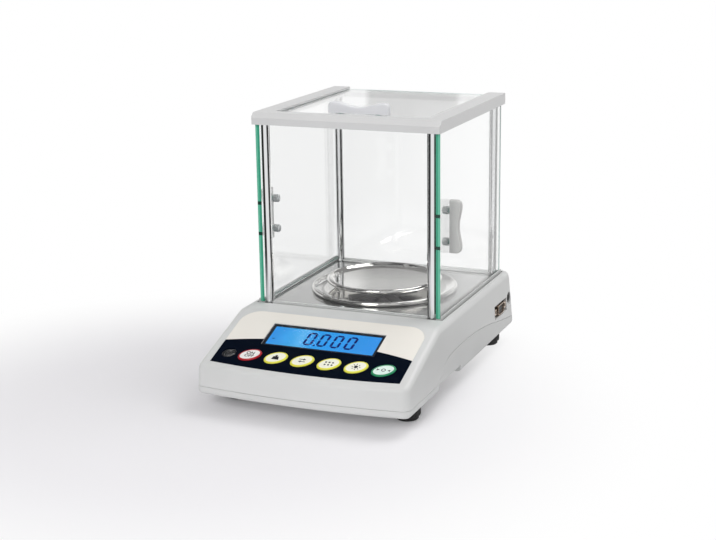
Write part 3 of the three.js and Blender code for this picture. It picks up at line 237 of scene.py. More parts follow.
for name, place, size, power in soft_lamps:
    light = bpy.data.lights.new(name, "AREA")
    light.shape = "DISK"
    light.size = size
    light.energy = power
    lamp = bpy.data.objects.new(name, light)
    lamp.location = place
    lamp.rotation_mode = "QUATERNION"
    lamp.rotation_quaternion = (-Vector(place)).to_track_quat("-Z", "Y")
    lamp.visible_camera = False
    bpy.context.scene.collection.objects.link(lamp)

# The casing is an upper housing and a lower cover, two thin mouldings of pale grey plastic with a fine
# spark-eroded grain, which meet along an arched seam. The moulds leave the panel recess, the openings
# and the bosses, and four screws draw the halves together from below.
casing_length = 262.5
casing_width = 169.6
casing_bottom = 13.3
casing_top = 60
front_edge_height = 33
panel_slope = math.radians(19.3)
wall = 2.5
deck_drop = 5
side_lean = 2.2
front_lean = 1.2
rear_lean = 6
front_bow = 5.6
front_corner = 6
rear_corner = 6
shoulder = 4.5
bottom_edge = 3
front_edge = 4
crest = 20
rear_edge = 5
least_radius = 0.6
seam_height = 19
seam_rise = 15.5
seam_gap = 0.3
seam_shares = (
    (0.245, 0), (0.262, 0.1), (0.3, 0.5), (0.34, 0.84), (0.386, 0.95), (0.45, 1), (0.572, 0.98),
    (0.717, 0.755), (0.843, 0.406), (0.969, 0.09), (1, 0))
front_y, rear_y = -casing_length / 2, casing_length / 2 - 0.045
half_width = casing_width / 2
beyond = 5


def tint(red, green, blue):
    """A colour given as it looks on screen, made linear."""
    return tuple(
        (c / 255 / 12.92 if c <= 10 else ((c / 255 + 0.055) / 1.055) ** 2.4) for c in (red, green, blue)
    ) + (1,)


def edge_fall(reach, half, radius):
    """How far a rounded edge has fallen away at a distance from the middle."""
    along = reach - (half - radius)
    return 0 if along <= 0 else radius - math.sqrt(max(radius ** 2 - along ** 2, 0))


def quadratic(start, middle, end, steps):
    """Points along a curve that leaves one point for another by way of a third."""
    start, middle, end = Vector(start), Vector(middle), Vector(end)
    shares = [step / steps for step in range(steps + 1)]
    return [tuple(start.lerp(middle, share).lerp(middle.lerp(end, share), share)) for share in shares]


def rounded_corner(before, corner, after, radius, steps=6):
    """Points round a corner of an outline."""
    arriving = (corner - before).normalized()
    leaving = (after - corner).normalized()
    reach = radius * math.tan(arriving.angle(leaving) / 2)
    return quadratic(corner - arriving * reach, corner, corner + leaving * reach, steps)


def casing_outline(x, half, inset, deck, floor_height):
    """The casing's outline in Y and Z at a distance x from the middle."""
    def roundness(radius):
        return max(radius - inset, least_radius)

    reach = abs(x)
    bow = front_bow * (reach / half) ** 2
    front = front_y + inset + bow + edge_fall(reach, half, roundness(front_corner))
    rear = rear_y - inset - edge_fall(reach, half, roundness(rear_corner))
    fall = edge_fall(reach, half, roundness(shoulder))
    bottom = casing_bottom + floor_height + edge_fall(reach, half, roundness(bottom_edge))
    panel_inset = inset / math.cos(panel_slope)
    top = casing_top - deck - fall
    slope = math.tan(panel_slope)
    crest_y = front_y + (casing_top - deck + panel_inset - front_edge_height) / slope
    lean_height = front_edge_height + (front + front_lean - front_y) * slope - panel_inset - fall
    corners = (
        (front, bottom, bottom_edge), (front + front_lean, lean_height, front_edge), (crest_y, top, crest),
        (rear - rear_lean, top, rear_edge), (rear, bottom, bottom_edge))
    places = [Vector((y, z)) for y, z, _ in corners]
    return [
        point for i, (_, _, radius) in enumerate(corners)
        for point in rounded_corner(places[i - 1], places[i], places[(i + 1) % 5], roundness(radius))]


def leaned(x, z):
    """The side walls lean in as they rise."""
    return x * (1 - side_lean / half_width * (z - casing_bottom) / (casing_top - casing_bottom))


def casing_form(inset=0, deck=0, floor_height=0):
    """The casing's outer form, or the same form drawn in on every side."""
    half = half_width - inset
    radius = max(rear_corner - inset, least_radius)
    right_side = [(half - radius) * share for share in (0, 0.2, 0.4, 0.6, 0.8)]
    right_side += [half - radius + radius * math.sin(step / 12 * math.pi / 2) for step in range(13)]
    form = bmesh.new()
    rings = []
    for x in [-x for x in reversed(right_side[1:])] + right_side:
        outline = casing_outline(x, half, inset, deck, floor_height)
        corners = [form.verts.new((leaned(x, z), y, z)) for y, z in outline]
        rings.append([form.edges.new(pair) for pair in zip(corners, corners[1:] + corners[:1])])
    for ring, following in zip(rings, rings[1:]):
        bmesh.ops.bridge_loops(form, edges=ring + following)
    for ring in (rings[0], rings[-1]):
        bmesh.ops.contextual_create(form, geom=ring)
    bmesh.ops.recalc_face_normals(form, faces=form.faces)
    return form


def moved(form, matrix):
    """Move a form to its place."""
    bmesh.ops.transform(form, matrix=matrix, verts=form.verts)
    return form


def prism(outline, low, high, transform=Matrix.Identity(4)):
    """A flat outline in X and Y, raised from one height to another."""
    form = bmesh.new()
    face = form.faces.new([form.verts.new((x, y, low)) for x, y in outline])
    raised = bmesh.ops.extrude_face_region(form, geom=[face])["geom"]
    upper = [part for part in raised if isinstance(part, bmesh.types.BMVert)]
    bmesh.ops.translate(form, vec=(0, 0, high - low), verts=upper)
    bmesh.ops.recalc_face_normals(form, faces=form.faces)
    return moved(form, transform)


def rod(diameter, low, high, x=0, y=0, sides=32, transform=Matrix.Identity(4)):
    """A round bar along Z."""
    bar = bmesh.new()
    bmesh.ops.create_cone(
        bar, cap_ends=True, segments=sides, radius1=diameter / 2, radius2=diameter / 2, depth=high - low,
        matrix=transform @ Matrix.Translation((x, y, (low + high) / 2)))
    return bar


def block(x, y, z, transform=Matrix.Identity(4)):
    """A box between two places along each axis."""
    middle = Matrix.Translation([(low + high) / 2 for low, high in (x, y, z)])
    size = Matrix.Diagonal([high - low for low, high in (x, y, z)] + [1])
    box = bmesh.new()
    bmesh.ops.create_cube(box, size=1, matrix=transform @ middle @ size)
    return box


def worked(blank, steps):
    """Work a blank with other forms: each step is a boolean operation and the forms it uses."""
    def stand_in(form):
        mesh = bpy.data.meshes.new("work")
        form.to_mesh(mesh)
        form.free()
        holder = bpy.data.objects.new("work", mesh)
        bpy.context.scene.collection.objects.link(holder)
        return holder

    holders = [stand_in(blank)]
    for operation, forms in steps:
        for form in forms:
            holders.append(stand_in(form))
            step = holders[0].modifiers.new(operation, "BOOLEAN")
            step.operation = operation
            step.solver = "MANIFOLD"
            step.object = holders[-1]
    result = bmesh.new()
    result.from_object(holders[0], bpy.context.evaluated_depsgraph_get())
    for holder in holders:
        mesh = holder.data
        bpy.data.objects.remove(holder)
        bpy.data.meshes.remove(mesh)
    return result


def piece(name, form, finishes, body, stands_for=(), crease=32):
    """Make a finished form, in millimetres, a piece of the balance that rides on its body."""
    bmesh.ops.scale(form, vec=(mm, mm, mm), verts=form.verts)
    mesh = bpy.data.meshes.new(name)
    form.to_mesh(mesh)
    form.free()
    for finish in finishes:
        mesh.materials.append(finish)
    mesh.shade_smooth()
    mesh.set_sharp_from_angle(angle=math.radians(crease))
    made = bpy.data.objects.new(name, mesh)
    bpy.context.scene.collection.objects.link(made)
    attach(made, body)
    if stands_for:
        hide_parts(*stands_for)
    return made


def even_shading(made):
    """Let the large faces of a piece lead its shading, so that they look flat up to their edges."""
    weighted = made.modifiers.new("even_shading", "WEIGHTED_NORMAL")
    weighted.keep_sharp = True


def noise(tree, spot, scale, detail):
    """Soft patches of light and dark, with their number to the metre."""
    return add_node(tree, "TexNoise", {"Vector": spot, "Scale": scale, "Detail": detail}).outputs["Fac"]


moulded_grain, grain_inputs, grain_outputs = new_effect(
    "moulded_grain", {"Grains per Metre": 2500.0}, ["Height", "Cloud"])
spot = surface_spot(moulded_grain)
fine = noise(moulded_grain, spot, grain_inputs["Grains per Metre"], 2.0)
slow = noise(moulded_grain, spot, 22.0, 3.0)
moulded_grain.links.new(fine, grain_outputs["Height"])
moulded_grain.links.new(slow, grain_outputs["Cloud"])

edge_wear, wear_inputs, wear_outputs = new_effect(
    "edge_wear", {"Reach": 0.0006, "Amount": 1.0}, ["Mask"])
softened = add_node(edge_wear, "Bevel", {"Radius": wear_inputs["Reach"]}, samples=4).outputs[0]
facing = add_node(edge_wear, "NewGeometry", {}).outputs["Normal"]
same = add_node(edge_wear, "VectorMath", {0: softened, 1: facing}, operation="DOT_PRODUCT").outputs["Value"]
near_edge = spread(edge_wear, same, 0.995, 0.8)
patches = noise(edge_wear, surface_spot(edge_wear), 140.0, 4.0)
worn = reckon(edge_wear, "MULTIPLY", near_edge, spread(edge_wear, patches, 0.35, 0.65))
amount = reckon(edge_wear, "MULTIPLY", worn, wear_inputs["Amount"])
edge_wear.links.new(amount, wear_outputs["Mask"])


def new_finish(name):
    """Start a finish: its material, its tree and the shader that shows it."""
    skin = bpy.data.materials.new(name)
    skin.use_nodes = True
    return skin, skin.node_tree, skin.node_tree.nodes["Principled BSDF"]


def toned(colour, share, lift=0.0):
    """A lighter or darker tone of a colour."""
    return tuple(min(c * share + lift, 1) for c in colour[:3]) + (1,)


def relief(tree, strength, height):
    """Fine height that shows in a finish's shading, a tenth of a millimetre at full strength."""
    return add_node(tree, "Bump", {"Strength": strength, "Distance": 0.0001, "Height": height}).outputs[0]


def plastic(name, colour, roughness, grains=2500.0, depth=0.12, wear=0.35, drift=0.05, shine=0.5):
    """Moulded plastic: fine grain, slow changes of tone, and edges rubbed a little brighter."""
    skin, tree, shader = new_finish(name)
    grain = use_effect(tree, moulded_grain, {"Grains per Metre": grains})
    rubbed = use_effect(tree, edge_wear, {"Reach": 0.0007, "Amount": wear})["Mask"]
    tone = blend(tree, grain["Cloud"], toned(colour, 1 - drift), toned(colour, 1 + drift))
    feed(tree, shader, {
        "Base Color": blend(tree, rubbed, tone, toned(colour, 1.12, 0.03)),
        "Roughness": spread(tree, grain["Cloud"], 0.3, 0.7, roughness - 0.05, roughness + 0.05),
        "Normal": relief(tree, depth, grain["Height"]),
        "Specular IOR Level": shine})
    return skin


housing_grey = plastic("housing_grey", tint(219, 220, 219), 0.42)

panel_frame = Matrix.Translation((0, front_y, front_edge_height)) @ Matrix.Rotation(panel_slope, 4, "X")
film_half_width = 75
film_low, film_top, film_bow, film_corner = 9.8, 80, 3.5, 15
film_recess = 1.1


def arc(x, y, radius, start, end, steps):
    """Points along a round stretch, between two angles in degrees."""
    angles = [math.radians(start + (end - start) * step / steps) for step in range(steps + 1)]
    return [(x + radius * math.cos(angle), y + radius * math.sin(angle)) for angle in angles]


def film_outline(growth):
    """The printed panel's outline: bowed at the keys, round at the top corners."""
    half, corner = film_half_width + growth, film_corner + growth
    low = film_low + film_bow - growth
    top = film_top + growth - corner
    bottom = quadratic((-half, low), (0, low - 2 * film_bow), (half, low), 16)
    return bottom + arc(half - corner, top, corner, 0, 90, 10) + arc(corner - half, top, corner, 90, 180, 10)


def oval(width, height, x, y, sides=48):
    """Points round a key's ellipse, turned so that its right end stands higher."""
    points = []
    for step in range(sides):
        along = width / 2 * math.cos(2 * math.pi * step / sides)
        across = height / 2 * math.sin(2 * math.pi * step / sides)
        points.append((
            x + along * math.cos(key_turn) - across * math.sin(key_turn),
            y + along * math.sin(key_turn) + across * math.cos(key_turn)))
    return points


def below_seam(lift):
    """Everything below the arched seam, or below a line a little above it."""
    knots = [Vector((front_y + along * casing_length, seam_height + lift + rise * seam_rise))
             for along, rise in seam_shares]
    ends = [knots[0]] + knots + [knots[-1]]
    arch = [knots[0]]
    for a, b, c, d in zip(ends, ends[1:], ends[2:], ends[3:]):
        for share in (0.25, 0.5, 0.75, 1):
            bend = (c - a) / 2, (d - b) / 2
            arch.append(
                b * (2 * share ** 3 - 3 * share ** 2 + 1) + bend[0] * (share ** 3 - 2 * share ** 2 + share)
                + c * (3 * share ** 2 - 2 * share ** 3) + bend[1] * (share ** 3 - share ** 2))
    low = casing_bottom - beyond
    outline = [(front_y - beyond, low), (rear_y + beyond, low), (rear_y + beyond, seam_height + lift)]
    outline += [tuple(point) for point in reversed(arch)]
    outline += [(front_y - beyond, seam_height + lift)]
    across = Matrix(((0, 0, 1, 0), (1, 0, 0, 0), (0, 1, 0, 0), (0, 0, 0, 1)))
    return prism(outline, -half_width - beyond, half_width + beyond, across)


def four_places(name, front, rear, side):
    """The places of four like pieces: front and rear, left and right."""
    return {
        f"{name}_{row}_{hand}": (x, y)
        for row, y in (("front", front), ("rear", rear)) for hand, x in (("left", -side), ("right", side))}


post_places = four_places("post", -30.2, 113, 68.1)
screw_places = four_places("cover_screw", -121.25, 121.25, 60.8)
pan_centre = (0, 41.4)
spindle_hole = 14
pocket_floor = 57.5
plate_low, plate_high = [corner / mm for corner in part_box("floor_plate")]
display_width, display_height, display_centre = 88.8, 24.6, 53.4
key_row = 25.2
key_places = dict(zip(
    ("key_on_off", "key_cal", "key_unit", "key_count", "key_light", "key_tare"),
    (-47.8, -26.5, -5.2, 16.1, 37.4, 58.7)))
key_width, key_height = 18.2, 13
key_turn = math.radians(28)
level_x, level_diameter = -65.1, 10.6
serial_y, serial_z = 94.4, 34.8
jack_y, jack_z = 118, 37.7
serial_opening_half, serial_opening_rise, jack_opening = 16.4, 5.5, 10.6
post_socket = 5.2
along_x = Matrix.Rotation(math.pi / 2, 4, "Y")
screw_boss, screw_boss_top = 10, casing_top - 12
screw_hole, screw_hole_top = 4, seam_height + 12.3
play = 0.3
through, through_deck, through_side = (-20, 10), (40, 70), (70, 95)


def around(middle, half):
    """A stretch to both sides of a place."""
    return middle - half, middle + half


def rods(diameter, low, high, places):
    """Like round bars at several places."""
    return [rod(diameter, low, high, x, y) for x, y in places]


def key_and_level_holes(growth, transform=Matrix.Identity(4)):
    """What the keys and the level pass through, wider than they are by a growth."""
    ovals = [oval(key_width + growth, key_height + growth, x, key_row) for x in key_places.values()]
    return [prism(outline, *through, transform) for outline in ovals] + [
        rod(level_diameter + growth, *through, level_x, key_row, transform=transform)]


housing_form = worked(casing_form(), [
    ("DIFFERENCE", [casing_form(wall, deck_drop, wall)]),
    ("UNION", rods(screw_boss, seam_height + seam_gap, screw_boss_top, screw_places.values())),
    ("INTERSECT", [casing_form()]),
    ("DIFFERENCE", [
        below_seam(seam_gap),
        block((plate_low.x - play, plate_high.x + play), (plate_low.y - play, plate_high.y + play),
              (pocket_floor, casing_top + beyond)),
        rod(spindle_hole + 2 * play, *through_deck, *pan_centre),
        prism(film_outline(play), -film_recess, beyond, panel_frame),
        block(around(0, display_width / 2), around(display_centre, display_height / 2), through, panel_frame),
        *key_and_level_holes(2 * play, panel_frame),
        block(through_side, around(serial_y, serial_opening_half), around(serial_z, serial_opening_rise)),
        rod(jack_opening, *through_side, transform=Matrix.Translation((0, jack_y, jack_z)) @ along_x),
        *rods(post_socket, *through_deck, post_places.values()),
        *rods(screw_hole, 0, screw_hole_top, screw_places.values()),
    ]),
])
upper_shell = piece("upper_shell", housing_form, [housing_grey], "base", ["upper_housing"])
even_shading(upper_shell)

# The lower cover carries everything: bosses for the feet, screws and pegs, the pedestal of the weighing
# cell and a finger recess under each side. It is moulded in the same grey plastic with a matt floor.
foot_places = four_places("foot", -87.4, 105.6, 69)
foot_boss, foot_boss_height, foot_hole = 14, 11, 8.6
screw_head_hole, screw_head_depth = 7.2, 2.8
recess_y = (-61.75, -11.75)
recess_inner, recess_outer, recess_top = 79.3, 90, 19
pedestal_x, pedestal_y, pedestal_top = (-20, 20), (85.4, 113.4), 22.7
cell_bolt_places, cell_bolt_hole = ((0, 91.9), (0, 106.9)), 6
board_peg_places = [(x, y) for x in (29, 63) for y in (-13, 85)]
peg_width, peg_top = 6, 20.3
pin_width, pin_foot, pin_top = 2.4, 20, 23.4
floor_skin = casing_bottom + wall / 2
all_x, all_y, all_z = (-100, 100), (-200, 200), (0, 60)

lining = worked(casing_form(), [
    ("INTERSECT", [below_seam(0)]),
    ("DIFFERENCE", [block(around(0, recess_inner - wall), all_y, all_z)]),
    ("DIFFERENCE", [
        block(all_x, (all_y[0], recess_y[0] - wall), all_z),
        block(all_x, (recess_y[1] + wall, all_y[1]), all_z),
        block(all_x, all_y, (recess_top + wall, all_z[1]))]),
])
cover_form = worked(casing_form(), [
    ("DIFFERENCE", [casing_form(wall, deck_drop, wall)]),
    ("INTERSECT", [below_seam(0)]),
    ("UNION", [lining]),
    ("UNION", rods(screw_boss, floor_skin, seam_height, screw_places.values())),
    ("UNION", rods(foot_boss, casing_bottom, casing_bottom + foot_boss_height, foot_places.values())),
    ("UNION", rods(peg_width, floor_skin, peg_top, board_peg_places)),
    ("UNION", rods(pin_width, pin_foot, pin_top, board_peg_places)),
    ("UNION", [block(pedestal_x, pedestal_y, (floor_skin, pedestal_top))]),
    ("DIFFERENCE", [
        block(side, recess_y, (0, recess_top))
        for side in ((recess_inner, recess_outer), (-recess_outer, -recess_inner))]),
    ("DIFFERENCE", rods(foot_hole, *all_z, foot_places.values())),
    ("DIFFERENCE", rods(screw_hole, *all_z, screw_places.values())),
    ("DIFFERENCE", rods(screw_head_hole, 0, casing_bottom + screw_head_depth, screw_places.values())),
    ("DIFFERENCE", rods(cell_bolt_hole, casing_bottom + wall, all_z[1], cell_bolt_places)),
])
cover_grey = plastic("cover_grey", tint(216, 217, 216), 0.48, grains=1900.0, depth=0.18)
cover_tray = piece("cover_tray", cover_form, [cover_grey], "base", ["lower_cover"])
even_shading(cover_tray)

# The cover's screws are zinc-plated steel with a rounded head and a cross recess. They are driven in from
# below, with their heads sunk in counterbores of the lower cover.
cross_length, cross_width, cross_depth = 4, 0.9, 1.3
head_radius, head_low, head_top = 3.3, casing_bottom + 0.3, casing_bottom + 2.5
screw_radius, screw_tip = 1.7, seam_height + 12


def turned(outline, sides=64, transform=Matrix.Identity(4)):
    """A turned form: an outline of radius and height, spun once round Z."""
    form = bmesh.new()
    corners = [form.verts.new((radius, 0, height)) for radius, height in outline]
    edges = [form.edges.new(pair) for pair in zip(corners, corners[1:])]
    if outline[0][0] > 0:
        edges.append(form.edges.new((corners[-1], corners[0])))
    bmesh.ops.spin(
        form, geom=corners + edges, cent=(0, 0, 0), axis=(0, 0, 1), angle=2 * math.pi, steps=sides,
        use_merge=True)
    bmesh.ops.remove_doubles(form, verts=form.verts, dist=0.0001)
    bmesh.ops.recalc_face_normals(form, faces=form.faces)
    return moved(form, transform)


drawn_marks, mark_inputs, mark_outputs = new_effect(
    "drawn_marks", {"Stretch": (1.0, 1.0, 1.0), "Marks per Metre": 900.0}, ["Height", "Smudge"])
spot = surface_spot(drawn_marks)
drawn = add_node(
    drawn_marks, "VectorMath", {0: spot, 1: mark_inputs["Stretch"]}, operation="MULTIPLY").outputs[0]
lines = noise(drawn_marks, drawn, mark_inputs["Marks per Metre"], 3.0)
drawn_marks.links.new(lines, mark_outputs["Height"])
drawn_marks.links.new(noise(drawn_marks, spot, 45.0, 4.0), mark_outputs["Smudge"])


def metal(name, colour, roughness, grains=900.0, depth=0.05, stretch=(1.0, 1.0, 1.0), wear=0.15):
    """Bare or plated metal: fine marks, drawn out along one way, and smudges that dull it in places."""
    skin, tree, shader = new_finish(name)
    marks = use_effect(tree, drawn_marks, {"Stretch": stretch, "Marks per Metre": grains})
    rubbed = use_effect(tree, edge_wear, {"Reach": 0.0004, "Amount": wear})["Mask"]
    tone = blend(tree, marks["Smudge"], toned(colour, 0.9), colour)
    feed(tree, shader, {
        "Metallic": 1,
        "Base Color": blend(tree, rubbed, tone, toned(colour, 1.15, 0.02)),
        "Roughness": spread(tree, marks["Smudge"], 0.3, 0.7, roughness * 1.25, roughness * 0.85),
        "Normal": relief(tree, depth, marks["Height"])})
    return skin


zinc_plate = metal("zinc_plate", tint(196, 198, 196), 0.3)
screw_outline = [
    (0, head_low), (1.6, head_low), (2.7, head_low + 0.35), (head_radius, head_low + 1.1),
    (head_radius, head_top), (screw_radius, head_top), (screw_radius, screw_tip - 0.8), (0.8, screw_tip),
    (0, screw_tip)]
for name, (x, y) in screw_places.items():
    slots = [block(around(0, long / 2), around(0, wide / 2), (0, head_low + cross_depth))
             for long, wide in ((cross_length, cross_width), (cross_width, cross_length))]
    form = worked(turned(screw_outline, 32), [("DIFFERENCE", slots)])
    bmesh.ops.translate(form, vec=(x, y, 0), verts=form.verts)
    piece(name + "_plated", form, [zinc_plate], "base", [name])

# A levelling foot is one piece of black moulded rubber over a threaded stem: a round pad on the table and a
# gripped wheel above it, which a finger turns to raise or lower that corner.
pad_diameter, pad_height = 17, 3.2
wheel_diameter, wheel_top, grip_count, grip_depth = 20, 10.6, 16, 0.6
stem_diameter, stem_top = 8, 21.6
foot_black = plastic("foot_black", tint(24, 24, 25), 0.62, grains=1500.0, depth=0.3, wear=0.25, drift=0.2)


def round_edges(form, edges, reach, segments, clamp_overlap=False):
    """Round some edges of a form."""
    bmesh.ops.bevel(
        form, geom=edges, offset=reach, offset_type="OFFSET", segments=segments, profile=0.5, affect="EDGES",
        material=-1, clamp_overlap=clamp_overlap)


def gripped_wheel():
    """The wheel: a disc with shallow grips round its edge and rounded rims."""
    outline = []
    for step in range(grip_count * 6):
        angle = 2 * math.pi * step / (grip_count * 6)
        radius = wheel_diameter / 2 - grip_depth * (0.5 - 0.5 * math.cos(grip_count * angle)) ** 2
        outline.append((radius * math.cos(angle), radius * math.sin(angle)))
    wheel = prism(outline, pad_height, wheel_top)
    rims = [edge for edge in wheel.edges if abs(edge.verts[0].co.z - edge.verts[1].co.z) < 0.001]
    round_edges(wheel, rims, 0.6, 3, clamp_overlap=True)
    return wheel


pad_radius, stem_radius = pad_diameter / 2, stem_diameter / 2
pad_outline = [
    (0, 0), (pad_radius - 0.8, 0), (pad_radius, 0.8), (pad_radius, pad_height + 0.6), (0, pad_height + 0.6)]
stem_outline = [
    (0, 10), (stem_radius, 10), (stem_radius, stem_top - 0.6), (stem_radius - 0.6, stem_top), (0, stem_top)]
for name, (x, y) in foot_places.items():
    form = worked(turned(pad_outline), [("UNION", [gripped_wheel(), turned(stem_outline, 40)])])
    bmesh.ops.translate(form, vec=(x, y, 0), verts=form.verts)
    piece(name + "_rubber", form, [foot_black], name, [name])

# The panel is faced with two printed polycarbonate films: a cream one above and a navy one for the keys,
# which meet along a low arch. Both lie in one recess, with holes for the display, keys and level.
film_thickness = 0.8
lens_width, lens_height = 91.4, 27.2
band_top, band_bow = 49.9, 9.7
print_growth = 0.2
dust_grey = (0.75, 0.74, 0.72, 1)


def key_band(growth):
    """The navy band under its arched top edge."""
    half = film_half_width + beyond
    sag = band_bow * (half / film_half_width) ** 2
    curve = quadratic(
        (half, band_top - sag + growth), (0, band_top + sag + growth), (-half, band_top - sag + growth), 32)
    return [(-half, -beyond), (half, -beyond)] + curve


def panel_holes():
    """The holes that both films leave for what stands in them."""
    window = block(around(0, lens_width / 2 + 0.1), around(display_centre, lens_height / 2 + 0.1), through)
    return [window] + key_and_level_holes(0.4)


table_dust, dust_inputs, dust_outputs = new_effect("table_dust", {"Amount": 0.1}, ["Mask"])
spot = surface_spot(table_dust)
motes = add_node(
    table_dust, "TexVoronoi", {"Vector": spot, "Scale": 420.0, "Randomness": 1.0}).outputs["Distance"]
specks = spread(table_dust, motes, 0.1, 0.05)
where = spread(table_dust, noise(table_dust, spot, 60.0, 3.0), 0.5, 0.62)
both = reckon(table_dust, "MULTIPLY", specks, where)
faint = reckon(table_dust, "MULTIPLY", both, dust_inputs["Amount"])
table_dust.links.new(faint, dust_outputs["Mask"])


def printed_film(name, colour, roughness, flecks, shine=0.5):
    """A film printed on its back: an even colour under a faint orange-peel surface, with dust on it."""
    skin, tree, shader = new_finish(name)
    peel = use_effect(tree, moulded_grain, {"Grains per Metre": 900.0})
    dust = use_effect(tree, table_dust, {"Amount": flecks})["Mask"]
    tone = blend(tree, peel["Cloud"], toned(colour, 0.97), toned(colour, 1.03))
    feed(tree, shader, {
        "Base Color": blend(tree, dust, tone, dust_grey),
        "Roughness": spread(tree, peel["Cloud"], 0.3, 0.7, roughness - 0.04, roughness + 0.06),
        "Normal": relief(tree, 0.06, peel["Height"]),
        "Specular IOR Level": shine})
    return skin


cream_print = printed_film("cream_print", tint(246, 242, 234), 0.45, 0.1)
navy_print = printed_film("navy_print", tint(3, 12, 28), 0.45, 0.05, 0.03)
for name, node, finish, how, growth in (
        ("cream_film", "display_overlay", cream_print, "DIFFERENCE", 0.1),
        ("navy_film", "keypad_overlay", navy_print, "INTERSECT", 0)):
    form = worked(prism(film_outline(print_growth), -film_thickness, 0), [
        (how, [prism(key_band(growth), *through)]), ("DIFFERENCE", panel_holes())])
    piece(name, moved(form, panel_frame), [finish], "base", [node])

# The display is a liquid-crystal module with a blue backlight behind a clear acrylic window. Its digits are
# dark seven-segment figures that lean a little, and a black mask frames the glass.
digit_width, digit_height, digit_pitch, first_digit = 5.6, 15.8, 10.9, -13.9
digit_lean, mark_lean = 0.055, 0.1
stroke, stroke_gap = 1.9, 0.2
digit_floor = display_centre + 0.3 - digit_height / 2
module_half, module_rise, module_low, module_high = 48, 16.5, -10.9, -2.8
glass_half, glass_rise, lcd_face = 44.1, 12, -1.4
print_low, segment_rise, mask_high = lcd_face + 0.01, 0.06, lcd_face + 0.12
mask_width, mask_rise = 0.9, glass_rise + 0.05
border_width, border_rise, border_level = 0.6, 0.7, (-0.95, -0.85)


def gathered(forms):
    """Several forms in one, each left whole."""
    whole = bmesh.new()
    for form in forms:
        mesh = bpy.data.meshes.new("part")
        form.to_mesh(mesh)
        form.free()
        whole.from_mesh(mesh)
        bpy.data.meshes.remove(mesh)
    return whole


def segment(x0, y0, x1, y1):
    """One bar of a figure, with pointed ends, leaning with the figure."""
    along = Vector((x1 - x0, y1 - y0)).normalized()
    across = Vector((-along.y, along.x)) * stroke / 2
    start, end = Vector((x0, y0)) + along * stroke_gap, Vector((x1, y1)) - along * stroke_gap
    points = (start, start + along * stroke / 2 + across, end - along * stroke / 2 + across, end,
              end - along * stroke / 2 - across, start + along * stroke / 2 - across)
    return [(point.x + digit_lean * (point.y - digit_floor), point.y) for point in reversed(points)]


def nought(left):
    """The six lit bars of a nought."""
    right_end = left + digit_width
    low, high = digit_floor + stroke / 2, digit_floor + digit_height - stroke / 2
    middle = (low + high) / 2
    level_bars = [segment(left, y, right_end, y) for y in (low, high)]
    halves = ((low, middle), (middle, high))
    return level_bars + [segment(x, start, x, end) for x in (left, right_end) for start, end in halves]


def small_mark(x, y, width, height):
    """The decimal point or the short bar beside the figures."""
    return [(x, y), (x + width, y), (x + width + mark_lean, y + height), (x + mark_lean, y + height)]


figures = [bar for step in range(4) for bar in nought(first_digit + step * digit_pitch)]
figures.append(small_mark(first_digit + digit_width + 2.4, digit_floor, 1.6, 1.7))
figures.append(small_mark(-40.6, 49.3, 2, 0.7))
backlit, tree, shader = new_finish("backlit_blue")
spot = surface_spot(tree)
across = add_node(tree, "SeparateXYZ", {0: spot}).outputs["X"]
# The blue is paler in a band about a third of the way across the window, from the left.
across_window = spread(tree, across, -0.044, 0.044)
ramp = add_node(tree, "ValToRGB", {0: across_window})
blues = ramp.color_ramp.elements
blues[0].color = tint(58, 160, 246)
blues[1].color = tint(58, 156, 242)
for share, colour in ((0.22, tint(72, 176, 242)), (0.3, tint(98, 192, 250)), (0.42, tint(52, 170, 250))):
    blues.new(share).color = colour
glow = spread(tree, noise(tree, spot, 60.0, 2.0), 0.3, 0.7, 0.92, 1.05)
lit_blue = add_node(
    tree, "VectorMath", {0: ramp.outputs["Color"], "Scale": glow}, operation="SCALE").outputs[0]
feed(tree, shader, {
    "Emission Color": lit_blue, "Emission Strength": 0.86, "Base Color": tint(8, 26, 52), "Roughness": 0.6,
    "Specular IOR Level": 0.1})
figure_ink = plastic("figure_ink", tint(6, 16, 96), 0.5, depth=0.02, wear=0, drift=0.1, shine=0.1)
mask_ink = plastic("mask_ink", tint(8, 12, 26), 0.5, depth=0.05, wear=0, drift=0.1)
body_black = plastic("module_black", tint(26, 27, 30), 0.5)

module_form = worked(
    block(around(0, module_half), around(display_centre, module_rise), (module_low, module_high)),
    [("UNION", [block(
        around(0, glass_half), around(display_centre, glass_rise), (module_high - 0.3, lcd_face))])])
moved(module_form, panel_frame)
module_form.faces.ensure_lookup_table()
upward = panel_frame.to_3x3() @ Vector((0, 0, 1))
for face in module_form.faces:
    height = (panel_frame.inverted() @ face.calc_center_median()).z
    face.material_index = 1 if face.normal.dot(upward) > 0.9 and height > lcd_face - 0.1 else 0
piece("lcd_glass", module_form, [body_black, backlit], "base", ["lcd_module"])
figures_form = gathered([
    prism(outline, print_low, lcd_face + segment_rise, panel_frame) for outline in figures])
piece("lcd_figures", figures_form, [figure_ink], "base")
mask_form = worked(
    block(around(0, glass_half), around(display_centre, mask_rise), (print_low, mask_high)),
    [("DIFFERENCE", [block(
        around(0, glass_half - mask_width), around(display_centre, mask_rise - mask_width), through)])])
piece("lcd_mask", moved(mask_form, panel_frame), [mask_ink], "base")


